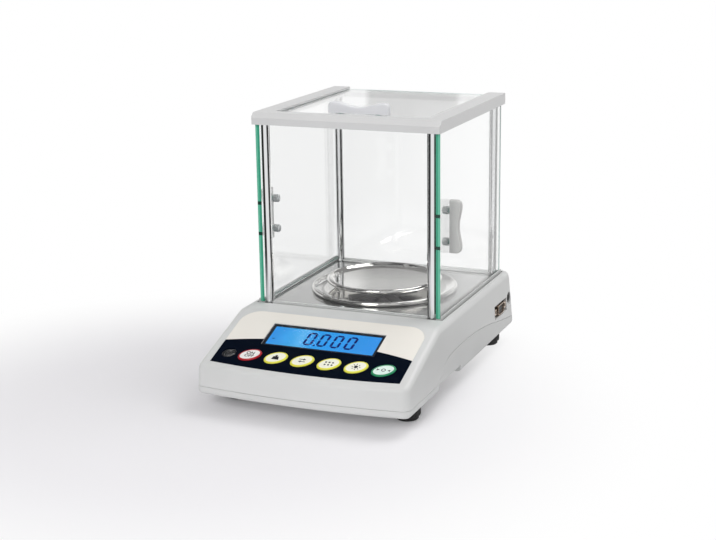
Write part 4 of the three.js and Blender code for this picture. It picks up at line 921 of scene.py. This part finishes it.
def clear_sheet(name, colour, roughness, bend=1.49, smears=0.02):
    """Clear glass or acrylic: lamps reach what is behind it, and faint smears dull it in places."""
    skin, tree, shader = new_finish(name)
    smear = use_effect(tree, drawn_marks, {"Stretch": (1.0, 1.0, 0.4), "Marks per Metre": 60.0})["Smudge"]
    feed(tree, shader, {
        "Base Color": colour, "Transmission Weight": 1, "IOR": bend,
        "Roughness": spread(tree, smear, 0.5, 0.75, roughness, roughness + smears)})
    lamps = add_node(tree, "LightPath", {}).outputs["Is Shadow Ray"]
    let_through = add_node(tree, "BsdfTransparent", {0: colour}).outputs[0]
    whole = add_node(tree, "MixShader", {0: lamps, 1: shader.outputs[0], 2: let_through}).outputs[0]
    tree.links.new(whole, tree.nodes["Material Output"].inputs["Surface"])
    return skin


clear_acrylic = clear_sheet("clear_acrylic", (0.97, 0.98, 1, 1), 0, bend=1.12, smears=0)
lens_form = block(
    around(0, lens_width / 2), around(display_centre, lens_height / 2), (-film_thickness, 0), panel_frame)
round_edges(lens_form, list(lens_form.edges), 0.15, 2)
piece("display_window", lens_form, [clear_acrylic], "base", ["display_lens"], 5)
# A thin dark frame just under the window's edge: partly a printed border, and partly painted shade along the
# window's edges.
border_form = worked(
    block(around(0, lens_width / 2 - 0.1), around(display_centre, lens_height / 2 - 0.1), border_level),
    [("DIFFERENCE", [block(
        around(0, display_width / 2 - border_width), around(display_centre, display_height / 2 - border_rise),
        through)])])
piece("window_border_and_shade", moved(border_form, panel_frame), [mask_ink], "base")

# Each key is a moulded cap on a plunger, with a flange that the housing holds back. Its face is printed: a
# coloured rim round a white middle with a small dark sign, ON and OFF on the first one.
key_profile = (
    (4.5, 4.5, -8.2), (4.5, 4.5, -3.8), (20.4, 15.2, -3.8), (20.4, 15.2, -2.8), (18.2, 13, -2.8),
    (18.2, 13, 0.1), (18.0, 12.8, 0.4), (17.5, 12.3, 0.62), (16.8, 11.6, 0.7), (15.3, 10.1, 0.7))
key_face = 0.7
print_rise = 0.03
sign_lines = 4.2
sign_scale = 1.3


def lofted(rings, sides=48):
    """A closed form through a stack of ovals, each with its width, its height and its level.

    Its faces are set here, because the operator that bridges rings twists some of these.
    """
    form = bmesh.new()
    loops = [[form.verts.new((x, y, level)) for x, y in oval(width, height, 0, 0, sides)]
             for width, height, level in rings]
    for lower, upper in zip(loops, loops[1:]):
        for i in range(sides):
            form.faces.new((lower[i - 1], lower[i], upper[i], upper[i - 1]))
    form.faces.new(loops[0][::-1])
    form.faces.new(loops[-1])
    bmesh.ops.recalc_face_normals(form, faces=form.faces)
    return form


def lettered(words, size):
    """Flat letters in the plain built-in face, made a mesh."""
    curve = bpy.data.curves.new("letters", "FONT")
    curve.body = words
    curve.size = size
    curve.align_x = "CENTER"
    curve.align_y = "CENTER"
    curve.space_line = 0.8
    curve.offset = 0.07
    curve.extrude = print_rise / 2
    holder = bpy.data.objects.new("letters", curve)
    bpy.context.scene.collection.objects.link(holder)
    form = bmesh.new()
    mesh = holder.to_mesh()
    form.from_mesh(mesh)
    holder.to_mesh_clear()
    bpy.data.objects.remove(holder)
    bpy.data.curves.remove(curve)
    bmesh.ops.remove_doubles(form, verts=form.verts, dist=0.0005)
    bmesh.ops.translate(form, vec=(0, 0, key_face + print_rise / 2), verts=form.verts)
    return form


def signs(outlines):
    """Small flat signs printed on a key's face."""
    larger = [[(sign_scale * x, sign_scale * y) for x, y in outline] for outline in outlines]
    return gathered([prism(outline, key_face, key_face + print_rise) for outline in larger])


def arrow(x, y, way):
    """A short arrow that starts at a place and points left or right."""
    return [(x + way * along, y + side) for along, side in (
        (0, -0.25), (2.6, -0.25), (2.6, -0.9), (4.2, 0), (2.6, 0.9), (2.6, 0.25), (0, 0.25))][::way]


def ring_of(radius, thickness):
    """A round ring in two halves."""
    halves = []
    for start in (0, 180):
        outer = arc(0, 0, radius, start, start + 180, 12)
        inner = arc(0, 0, radius - thickness, start, start + 180, 12)
        halves.append(outer + inner[::-1])
    return halves


weight_sign = [
    [(-2.2, -1.9), (2.2, -1.9), (1.6, 0.9), (-1.6, 0.9)],
    arc(0, 1.5, 0.75, 0, 330, 11)]
swap_sign = [arrow(-2.1, 1, 1), arrow(2.1, -1, -1)]
count_sign = [arc(x, y, 0.62, 0, 324, 9) for x in (-2.1, 0, 2.1) for y in (-1.1, 1.1)]
sun_rays = []
for turn in range(8):
    ray = Matrix.Rotation(turn * math.pi / 4, 2)
    corners = ((1.7, -0.2), (2.7, -0.2), (2.7, 0.2), (1.7, 0.2))
    sun_rays.append([tuple(ray @ Vector(corner)) for corner in corners])
sun_sign = [arc(0, 0, 1.15, 0, 345, 23)] + sun_rays
zero_sign = ring_of(1.3, 0.45) + [
    [(-3.9, -0.8), (-2.3, 0), (-3.9, 0.8)], [(3.9, -0.8), (3.9, 0.8), (2.3, 0)]]
key_red = plastic("key_red", tint(184, 14, 32), 0.32, depth=0.04, wear=0.1, drift=0.08)
key_yellow = plastic("key_yellow", tint(244, 240, 84), 0.32, depth=0.04, wear=0.1, drift=0.04)
key_green = plastic("key_green", tint(36, 150, 100), 0.32, depth=0.04, wear=0.1, drift=0.08)
key_white = plastic("key_white", tint(248, 247, 244), 0.34, depth=0.04, wear=0, drift=0.02)
key_cream = plastic("key_cream", tint(254, 253, 236), 0.34, depth=0.04, wear=0, drift=0.02)
key_mint = plastic("key_mint", tint(232, 250, 242), 0.34, depth=0.04, wear=0, drift=0.02)
sign_ink = plastic("sign_ink", tint(12, 13, 18), 0.5, depth=0.02, wear=0, drift=0.1)
key_prints = {
    "key_on_off": (key_red, key_white, lettered("ON\nOFF", sign_lines)),
    "key_cal": (key_yellow, key_cream, signs(weight_sign)),
    "key_unit": (key_yellow, key_cream, signs(swap_sign)),
    "key_count": (key_yellow, key_cream, signs(count_sign)),
    "key_light": (key_yellow, key_cream, signs(sun_sign)),
    "key_tare": (key_green, key_mint, signs(zero_sign)),
}
for name, x in key_places.items():
    rim, middle, sign = key_prints[name]
    cap = lofted(key_profile)
    cap.faces.ensure_lookup_table()
    cap.faces[-1].material_index = 1
    onto_panel = panel_frame @ Matrix.Translation((x, key_row, 0))
    for part, form, finishes, nodes in (
            ("cap", cap, [rim, middle], [name]), ("sign", sign, [sign_ink], [])):
        piece(name + "_" + part, moved(form, onto_panel), finishes, name, nodes)

# The bubble level is a small black moulded cup under a domed smoked lens. A thin grey ring on its floor
# marks the middle.
cup_radius, cup_flange, cup_low, cup_mouth = 5.3, 6.6, -5.4, 4.5
flange_low, flange_high = -3.8, -2.8
lens_radius, dome_low, dome_rise = 4.2, -0.4, 0.8
level_floor, lens_floor, level_face = -3.8, -3.5, -0.8
mark_inner, mark_outer, mark_rise = 1.9, 2.2, 0.1
level_place = panel_frame @ Matrix.Translation((level_x, key_row, 0))
vial_black = plastic("vial_black", tint(38, 40, 44), 0.35)
mark_grey = plastic("mark_grey", tint(112, 114, 114), 0.5, wear=0)
smoked_acrylic = clear_sheet("smoked_acrylic", (0.55, 0.55, 0.56, 1), 0.22)
cup = turned([
    (0, cup_low), (cup_radius - 0.2, cup_low), (cup_radius, cup_low + 0.2), (cup_radius, flange_low),
    (cup_flange, flange_low), (cup_flange, flange_high), (cup_radius, flange_high),
    (cup_radius, level_face - 0.1), (cup_radius - 0.1, level_face), (cup_mouth + 0.1, level_face),
    (cup_mouth, level_face - 0.1), (cup_mouth, level_floor), (0, level_floor)], 48, level_place)
piece("level_cup", cup, [vial_black], "base", ["level_vial"])
floor_ring = turned([
    (mark_inner, level_floor), (mark_outer, level_floor), (mark_outer, level_floor + mark_rise),
    (mark_inner, level_floor + mark_rise)], 40, level_place)
piece("level_mark", floor_ring, [mark_grey], "base")
dome = [(0, lens_floor), (lens_radius, lens_floor), (lens_radius, dome_low - 0.1)]
for step in range(10):
    turn = step / 10 * math.pi / 2
    dome.append((lens_radius * math.cos(turn), dome_low + dome_rise * math.sin(turn)))
dome.append((0, dome_low + dome_rise))
piece("level_dome", turned(dome, 48, level_place), [smoked_acrylic], "base", ["level_lens"])

# The chamber's floor is a satin stainless sheet with a small polished stud near its front edge. The four
# posts are chromed rods, turned down at both ends to fit the deck's sockets and the top frame.
stud_place = (-8, -24.5)
stud_foot, stud_bottom, stud_top = 57.8, 59.3, 61
stud_radius, stud_shank = 2.1, 1.05
post_low, post_high = 59.3, 201.2
spigot_low, spigot_high = 45, 204
post_radius, spigot_radius, post_chamfer = 3.2, 2.3, 0.3


def copied(node):
    """A bought or plain part's own CAD form in millimetres, with its flat faces made whole."""
    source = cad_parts[node]
    form = bmesh.new()
    form.from_mesh(source.data)
    moved(form, Matrix.Diagonal((1 / mm, 1 / mm, 1 / mm, 1)) @ source.matrix_world)
    bmesh.ops.remove_doubles(form, verts=form.verts, dist=0.002)
    bmesh.ops.dissolve_limit(
        form, angle_limit=math.radians(0.5), verts=form.verts, edges=form.edges, delimit={"NORMAL"})
    bmesh.ops.recalc_face_normals(form, faces=form.faces)
    return form


def soften(made, width):
    """Break the sharp edges of a piece."""
    rounding = made.modifiers.new("broken_edges", "BEVEL")
    rounding.width = width * mm
    rounding.segments = 2
    rounding.limit_method = "ANGLE"
    rounding.angle_limit = math.radians(40)
    rounding.harden_normals = True


def plain_piece(node, name, finish, width, body="base"):
    """A plain or bought part: its CAD form with softened edges."""
    soften(piece(name, copied(node), [finish], body, [node]), width)


satin_steel = metal(
    "satin_steel", tint(200, 200, 199), 0.12, grains=2600.0, depth=0.06, stretch=(0.04, 1.0, 1.0))
chrome = metal("chrome", tint(232, 233, 234), 0.06, grains=500.0, depth=0.01, stretch=(1.0, 1.0, 0.2))
plain_piece("floor_plate", "satin_floor", satin_steel, 0.25)
stud = turned([
    (0, stud_foot), (stud_shank, stud_foot), (stud_shank, stud_bottom), (stud_radius, stud_bottom),
    (stud_radius, 59.9), (1.95, 60.4), (1.5, 60.8), (0.8, stud_top - 0.04), (0, stud_top)],
    32, Matrix.Translation((*stud_place, 0)))
piece("stud_dome", stud, [chrome], "base", ["plate_stud"])
post_outline = [
    (0, spigot_low), (spigot_radius - post_chamfer, spigot_low), (spigot_radius, spigot_low + post_chamfer),
    (spigot_radius, post_low), (post_radius - post_chamfer, post_low), (post_radius, post_low + post_chamfer),
    (post_radius, post_high - post_chamfer), (post_radius - post_chamfer, post_high),
    (spigot_radius, post_high), (spigot_radius, spigot_high - post_chamfer),
    (spigot_radius - post_chamfer, spigot_high), (0, spigot_high)]
for name, (x, y) in post_places.items():
    rod_form = turned(post_outline, 64, Matrix.Translation((x, y, 0)))
    piece(name + "_chrome", rod_form, [chrome], "base", [name])

# Grey extruded tracks guide the sliding doors, and low sills with a groove seat the fixed panes. The top
# frame is one pale moulding on the posts, open at the rear for the sliding pane.
track_grey = plastic("track_grey", tint(205, 206, 205), 0.4, grains=1800.0)
frame_grey = plastic("frame_grey", tint(221, 221, 221), 0.4, grains=2200.0)
for name in ("door_track_left", "door_track_right", "front_sill", "rear_sill"):
    plain_piece(name, name + "_grey", track_grey, 0.2)
plain_piece("top_frame", "shield_frame", frame_grey, 0.7)

# The shield is float glass with polished faces and ground edges, which look green. The side doors and
# the top pane slide, and carry a handle each; the front and rear panes stand in their sills.
handle_heights = (115.15, 139.45)
# The painted images of the screw holes on the ground edges: their half height and soft edge, in metres.
hole_image_radius, hole_image_blur = 0.0011, 0.0005
arris = 0.25
glass_faces = clear_sheet("glass_faces", (0.978, 0.981, 0.98, 1), 0, smears=0)


def ground_edge(name, colour, marks):
    """The ground edge of a pane: green and cloudy, with a painted dark image of each screw hole that shows
    through the glass.
    """
    skin, tree, shader = new_finish(name)
    height = add_node(tree, "SeparateXYZ", {0: surface_spot(tree)}).outputs["Z"]
    cloud = use_effect(tree, drawn_marks, {"Stretch": (1.0, 1.0, 0.2), "Marks per Metre": 700.0})
    shown = blend(tree, cloud["Smudge"], toned(colour, 0.8), colour)
    # Each dark band is painted: the image of a screw hole seen through the glass, at that screw's height.
    for hole_image_height in marks:
        off = reckon(tree, "SUBTRACT", height, hole_image_height * mm)
        apart = reckon(tree, "ABSOLUTE", off)
        on_hole_image = spread(tree, apart, hole_image_radius + hole_image_blur, hole_image_radius)
        shown = blend(tree, on_hole_image, shown, tint(8, 62, 48))
    feed(tree, shader, {
        "Roughness": 0.25, "Base Color": shown, "Normal": relief(tree, 0.1, cloud["Height"])})
    return skin


# A door's front edge is one ground face in two tones: its outer half is painted lighter and its inner half
# darker, as painted light and shade.
edge_painted_light = ground_edge("door_edge_painted_light", tint(112, 206, 174), handle_heights)
edge_painted_shade = ground_edge("door_edge_painted_shade", tint(64, 172, 138), handle_heights)
rear_edge = ground_edge("door_edge_rear", tint(176, 212, 204), ())
pane_finishes = [glass_faces, edge_painted_light, edge_painted_shade, rear_edge]
panes = (
    ("left_door", "left_door", "X"), ("right_door", "right_door", "X"), ("top_glass", "top_pane", "Z"),
    ("front_glass", "base", "Y"), ("rear_glass", "base", "Y"))
for name, body, axis in panes:
    form = copied(name)
    through_axis = "XYZ".index(axis)
    low, high = [side[through_axis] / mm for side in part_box(name)]
    middle = (low + high) / 2
    rim = [edge for edge in form.edges if edge.calc_face_angle(0) > 1
           and all(abs(vert.co[through_axis] - middle) > (high - low) / 2 - 0.01 for vert in edge.verts)
           and edge.calc_length() > 5]
    round_edges(form, rim, arris, 1)
    cut = Vector([1 if i == through_axis else 0 for i in range(3)])
    bmesh.ops.bisect_plane(
        form, geom=[*form.verts, *form.edges, *form.faces], plane_co=cut * middle, plane_no=cut)
    outward = -1 if middle < 0 else 1
    # Along the doors' front edges, the outer half takes the painted light and the inner half the painted
    # shade.
    for face in form.faces:
        if axis == "X" and abs(face.normal.y) > 0.6:
            side = (face.calc_center_median()[through_axis] - middle) * outward
            face.material_index = 3 if face.normal.y > 0 else 1 if side > 0 else 2
        elif body != "base" and abs(face.normal[through_axis]) < 0.6:
            face.material_index = 3
    piece(name + "_pane", form, pane_finishes, body, [name], 5)

# The handles are pale moulded grips with two lobes and a waist. Two screws hold each one, with a round
# nut inside the glass.
handle_thickness = 5.5
handle_round = 1.1
nut_radius, shank_radius, shank_bite = 3.1, 1.5, 4
standing = Matrix.Rotation(math.pi / 2, 4, "X")
# A handle has its body, length, reach, waist, screw pitch, glass and nut height, its place and two ways.
handles = (
    ("left", "left_door", 41, 9, 2.2, 24.3, 3.5, 5, (-75.4, -10, 127.3), (0, 0, 1), (-1, 0, 0)),
    ("right", "right_door", 41, 9, 2.2, 24.3, 3.5, 5, (75.4, -10, 127.3), (0, 0, 1), (1, 0, 0)),
    ("top", "top_pane", 50, 8.5, 3.7, 31, 3, 2.8, (0, -5, 208.9), (1, 0, 0), (0, 0, 1)),
)


def bezier(start, first, second, end, steps=8):
    """Points along a curve with two handles, without its first point."""
    start, first, second, end = [Vector(point) for point in (start, first, second, end)]
    points = []
    for step in range(1, steps + 1):
        share = step / steps
        rest = 1 - share
        points.append(tuple(
            start * rest ** 3 + first * 3 * rest ** 2 * share + second * 3 * rest * share ** 2
            + end * share ** 3))
    return points


def handle_outline(length, reach, waist):
    """A handle seen from the side: flat on the glass, with two lobes and a waist."""
    half, lobe = length / 2, reach / 2
    right_half = [(half, 0)] + quadratic((half, reach - lobe), (half, reach), (half - lobe, reach), 6)
    right_half += bezier(
        (half - lobe, reach), (half / 2, reach), (half / 3, reach - waist), (0, reach - waist))
    return right_half + [(-x, y) for x, y in reversed(right_half[:-1])]


handle_grey = plastic("handle_grey", tint(207, 207, 205), 0.38, wear=0.5)
# The top handle is the same pale plastic as the side handles; its lighter grey is painted light.
top_handle_painted_light = plastic("top_handle_painted_light", tint(240, 240, 243), 0.38, wear=0.5)
nut_grey = plastic("nut_grey", tint(196, 199, 199), 0.32)
for word, body, length, reach, waist, pitch, glass, nut_height, place, along, out in handles:
    across = Vector(along).cross(Vector(out))
    onto_glass = Matrix.Translation(place) @ Matrix((along, out, across)).transposed().to_4x4()
    screw_turns = [Matrix.Translation((side * pitch / 2, 0, 0)) @ standing for side in (-1, 1)]
    bar = prism(handle_outline(length, reach, waist), -handle_thickness / 2, handle_thickness / 2)
    rims = [edge for edge in bar.edges if abs(edge.verts[0].co.z - edge.verts[1].co.z) < 0.001
            and max(vert.co.y for vert in edge.verts) > 0.01]
    round_edges(bar, rims, handle_round, 4, clamp_overlap=True)
    bite = shank_bite + play
    holes = [rod(2 * (shank_radius + play), -bite, bite, sides=24, transform=screw_turn)
             for screw_turn in screw_turns]
    grip = worked(bar, [("DIFFERENCE", holes)])
    grip_finish = top_handle_painted_light if word == "top" else handle_grey
    piece(word + "_grip", moved(grip, onto_glass), [grip_finish], body, [word + "_handle"])
    face = glass + 2 * play
    crown = face + nut_height
    nut_outline = [
        (0, crown), (1.6, crown - 0.12), (2.6, crown - 0.6), (nut_radius, crown - 1.3), (nut_radius, face),
        (shank_radius, face), (shank_radius, -shank_bite + 0.3), (shank_radius - 0.3, -shank_bite),
        (0, -shank_bite)]
    for letter, screw_turn in zip("ab", screw_turns):
        nut = turned(nut_outline, 32, onto_glass @ screw_turn)
        piece(f"{word}_nut_{letter}", nut, [nut_grey], body, [f"{word}_handle_screw_{letter}"])

# The pan and the draft ring are polished stainless discs with a rolled rim. The pan rests on a steel cross
# on the spindle, a hexagon-flanged stud that is screwed into the free end of the cell.
pan_diameter, ring_diameter = 91, 116
pan_bottom, ring_bottom = 65.9, 59.3
sheet = 0.8
pan_bead, pan_depth, pan_cove = 3.6, 1.8, 4
ring_bead, ring_depth, ring_cove = 3.4, 1.7, 8
bead_start, bead_turn, cove_bend = -164.9, 295.2, 0.6


def rolled_disc(hole, rim, bead, bottom, depth, cove):
    """The outline of a sheet disc: a cove rises to the rim, which is rolled outward into a bead."""
    radius = bead / 2
    centre = (rim / 2 - radius, bottom + depth)
    foot = centre[0] - radius - cove
    curl = arc(*centre, radius, bead_start, bead_start + bead_turn, 24)

    def rise(level, end):
        return quadratic((foot, level), (foot + cove_bend * (end[0] - foot), level), end, 10)[:-1]

    upper = rise(bottom + sheet, curl[-1])[::-1]
    return [(hole / 2, bottom)] + rise(bottom, curl[0]) + curl + upper + [(hole / 2, bottom + sheet)]


turned_lines, turned_inputs, turned_outputs = new_effect(
    "turned_lines", {"Centre": (0.0, 0.0, 0.0), "Lines per Metre": 3000.0}, ["Height", "Sweep"])
from_centre = add_node(turned_lines, "VectorMath", {
    0: surface_spot(turned_lines), 1: turned_inputs["Centre"]}, operation="SUBTRACT").outputs[0]
flat = add_node(
    turned_lines, "VectorMath", {0: from_centre, 1: (1.0, 1.0, 0.0)}, operation="MULTIPLY").outputs[0]
radius = add_node(turned_lines, "VectorMath", {0: flat}, operation="LENGTH").outputs["Value"]
steps_out = reckon(turned_lines, "MULTIPLY", radius, turned_inputs["Lines per Metre"])
lines = add_node(
    turned_lines, "TexNoise", {"W": steps_out, "Scale": 1.0, "Detail": 3.0},
    noise_dimensions="1D").outputs["Fac"]
turned_lines.links.new(lines, turned_outputs["Height"])
turned_lines.links.new(noise(turned_lines, flat, 40.0, 3.0), turned_outputs["Sweep"])

polished, tree, shader = new_finish("polished_sheet")
lathe = use_effect(tree, turned_lines, {"Centre": (pan_centre[0] * mm, pan_centre[1] * mm, 0.0)})
rubbed = use_effect(tree, edge_wear, {"Reach": 0.0004, "Amount": 0.2})["Mask"]
tone = blend(tree, lathe["Sweep"], tint(222, 221, 218), tint(240, 239, 236))
feed(tree, shader, {
    "Metallic": 1,
    "Base Color": blend(tree, rubbed, tone, tint(240, 240, 238)),
    "Roughness": spread(tree, lathe["Sweep"], 0.3, 0.7, 0.03, 0.07),
    "Normal": relief(tree, 0.03, lathe["Height"])})
over_spindle = Matrix.Translation((*pan_centre, 0))
ring_outline = rolled_disc(spindle_hole, ring_diameter, ring_bead, ring_bottom, ring_depth, ring_cove)
ring_form = turned(ring_outline, 128, over_spindle)
piece("wind_ring", ring_form, [polished], "base", ["draft_ring"])
pan_outline = rolled_disc(0, pan_diameter, pan_bead, pan_bottom, pan_depth, pan_cove)
pan_form = turned(pan_outline, 128, over_spindle)
piece("pan_disc", pan_form, [polished], "weighing_pan", ["pan"])
stage_steel = metal("stage_steel", tint(176, 177, 178), 0.32)
for node, name in (("pan_support", "pan_cross"), ("spindle", "stage_spindle")):
    plain_piece(node, name, stage_steel, 0.3, "weighing_stage")

# Inside the casing the aluminium weighing cell stands on the cover's pedestal under two black bolts, and
# two printed boards sit on pegs: the display's behind the panel, the main one beside the cell.
cell_alloy = metal(
    "cell_alloy", tint(186, 188, 190), 0.42, grains=2200.0, depth=0.15, stretch=(1.0, 0.05, 1.0))
black_oxide = metal("black_oxide", tint(58, 58, 60), 0.36)
plain_piece("load_cell", "cell_block", cell_alloy, 0.4)
socket_width, socket_depth = 5, 2
for name in ("load_cell_bolt_front", "load_cell_bolt_rear"):
    bolt = copied(name)
    head = max(vert.co.z for vert in bolt.verts)
    centre = sum((vert.co for vert in bolt.verts), Vector()) / len(bolt.verts)
    socket = rod(socket_width, head - socket_depth, head + 1, centre.x, centre.y, 6)
    bolt_form = worked(bolt, [("DIFFERENCE", [socket])])
    soften(piece(name + "_black", bolt_form, [black_oxide], "base", [name]), 0.25)


def board_finish(name, colour):
    """A printed board: solder resist over copper tracks that run in steps, with bright pads."""
    skin, tree, shader = new_finish(name)
    spot = surface_spot(tree)
    tracks = add_node(tree, "TexBrick", {
        "Vector": spot, "Scale": 220.0, "Mortar Size": 0.06, "Color1": (0, 0, 0, 1),
        "Color2": (0.3, 0.3, 0.3, 1), "Mortar": (1, 1, 1, 1)}).outputs["Fac"]
    pads = add_node(
        tree, "TexVoronoi", {"Vector": spot, "Scale": 260.0, "Randomness": 0.2}).outputs["Distance"]
    dots = spread(tree, pads, 0.16, 0.12)
    lanes = blend(tree, tracks, colour, toned(colour, 1.5))
    feed(tree, shader, {
        "Roughness": 0.4, "Metallic": dots, "Base Color": blend(tree, dots, lanes, tint(200, 196, 180)),
        "Normal": relief(tree, 0.2, tracks)})
    return skin


board_green = board_finish("board_green", tint(30, 96, 60))
for name, turned_flat, surface in (
        ("display_board", panel_frame.inverted(), -11.2), ("main_board", Matrix.Identity(4), 22.2)):
    form = copied(name)
    for face in form.faces:
        face.material_index = 1 if (turned_flat @ face.calc_center_median()).z > surface + 0.1 else 0
    soften(piece(name + "_printed", form, [board_green, body_black], "base", [name]), 0.15)

# The sockets stand on a bent steel bracket behind the right wall: a nine-way serial socket with its
# keystone shell and two hexagon posts, and a round power jack with a centre pin.
flange_face, shell_end, insulator_face = 78.9, 84.5, 83.4
flange_back, standoff_end = 78.2, 83.5
flange_half, flange_rise, flange_round = 15.4, 6.25, 1.5
shell_length, shell_height, shell_slant, shell_skin, shell_round = 17, 8.6, 1.4, 0.5, 1.8
pin_pitch, row_pitch, pin_hole, pin_depth = 2.77, 2.84, 1.2, 3
standoff_reach, standoff_width, standoff_thread = 12.5, 5, 3
bright_zinc = metal("bright_zinc", tint(190, 190, 186), 0.28)
socket_nickel = metal("socket_nickel", tint(206, 186, 168), 0.2)
socket_black = plastic("socket_black", tint(30, 28, 28), 0.45)
plain_piece("connector_bracket", "socket_bracket", bright_zinc, 0.3)


def outward(y, z):
    """Local X and Y become the machine's Y and Z at a place on the right wall; local Z points out."""
    return Matrix(((0, 0, 1, 0), (1, 0, 0, y), (0, 1, 0, z), (0, 0, 0, 1)))


def rounded_outline(corners, radius):
    """An outline through corners, each rounded."""
    places = [Vector(corner) for corner in corners]
    return [
        point for before, corner, after in zip(places[-1:] + places[:-1], places, places[1:] + places[:1])
        for point in rounded_corner(before, corner, after, radius)]


def keystone(growth):
    """The shell's outline: a slanted oblong with rounded corners."""
    low, high = shell_length / 2 - shell_slant + growth, shell_length / 2 + growth
    rise = shell_height / 2 + growth
    return rounded_outline(((-low, -rise), (low, -rise), (high, rise), (-high, rise)), shell_round + growth)


def hexagon(across, x):
    """A hexagon by its width across the flats and its place along X."""
    return arc(x, 0, across / math.sqrt(3), 0, 300, 5)


at_serial = outward(serial_y, serial_z)
flange_outline = rounded_outline((
    (-flange_half, -flange_rise), (flange_half, -flange_rise), (flange_half, flange_rise),
    (-flange_half, flange_rise)), flange_round)
standoffs = [hexagon(standoff_width, side * standoff_reach) for side in (-1, 1)]
serial_form = worked(prism(flange_outline, flange_back, flange_face), [
    ("UNION", [prism(keystone(0), flange_back + 0.2, shell_end)]),
    ("UNION", [prism(outline, flange_back + 0.2, standoff_end) for outline in standoffs]),
    ("DIFFERENCE", [prism(keystone(-shell_skin), flange_back - 1, shell_end + 1)]),
    ("DIFFERENCE", [rod(standoff_thread, flange_face + 1, standoff_end + 1, side * standoff_reach, sides=24)
                    for side in (-1, 1)]),
])
serial_shell = piece(
    "serial_shell", moved(serial_form, at_serial), [socket_nickel], "base",
    ["serial_connector"])
soften(serial_shell, 0.12)
pins = [(step * pin_pitch, row_pitch / 2) for step in (-2, -1, 0, 1, 2)]
pins += [(step * pin_pitch, -row_pitch / 2) for step in (-1.5, -0.5, 0.5, 1.5)]
pin_floor = insulator_face - pin_depth
insert_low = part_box("serial_connector")[0].x / mm
insulator = worked(prism(keystone(0.02 - shell_skin), insert_low, insulator_face), [
    ("DIFFERENCE", [rod(pin_hole, pin_floor, insulator_face + 1, x, y, 20) for x, y in pins])])
piece("serial_insert", moved(insulator, at_serial), [socket_black], "base")
contacts = gathered([rod(pin_hole - 0.1, pin_floor, pin_floor + 0.8, x, y, 16, at_serial) for x, y in pins])
piece("serial_contacts", contacts, [chrome], "base")

jack_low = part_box("power_jack")[0].x / mm
barrel, body_radius, bore, pin_radius = 4.3, 2.95, 2.7, 1
jack_face, bore_floor, pin_end = 82.6, 73.5, 80.4
jack_outline = [
    (0, jack_low), (body_radius, jack_low), (body_radius, flange_back), (barrel - 0.3, flange_back),
    (barrel, flange_back + 0.3), (barrel, jack_face - 0.4), (barrel - 0.4, jack_face),
    (bore + 0.2, jack_face), (bore, jack_face - 0.2), (bore, bore_floor), (0, bore_floor)]
at_jack = outward(jack_y, jack_z)
piece("jack_barrel", turned(jack_outline, 48, at_jack), [socket_black], "base", ["power_jack"])
pin_outline = [
    (0, bore_floor - 0.5), (pin_radius, bore_floor - 0.5), (pin_radius, pin_end - 0.4),
    (pin_radius - 0.4, pin_end), (0, pin_end)]
piece("jack_pin", turned(pin_outline, 24, at_jack), [chrome], "base")
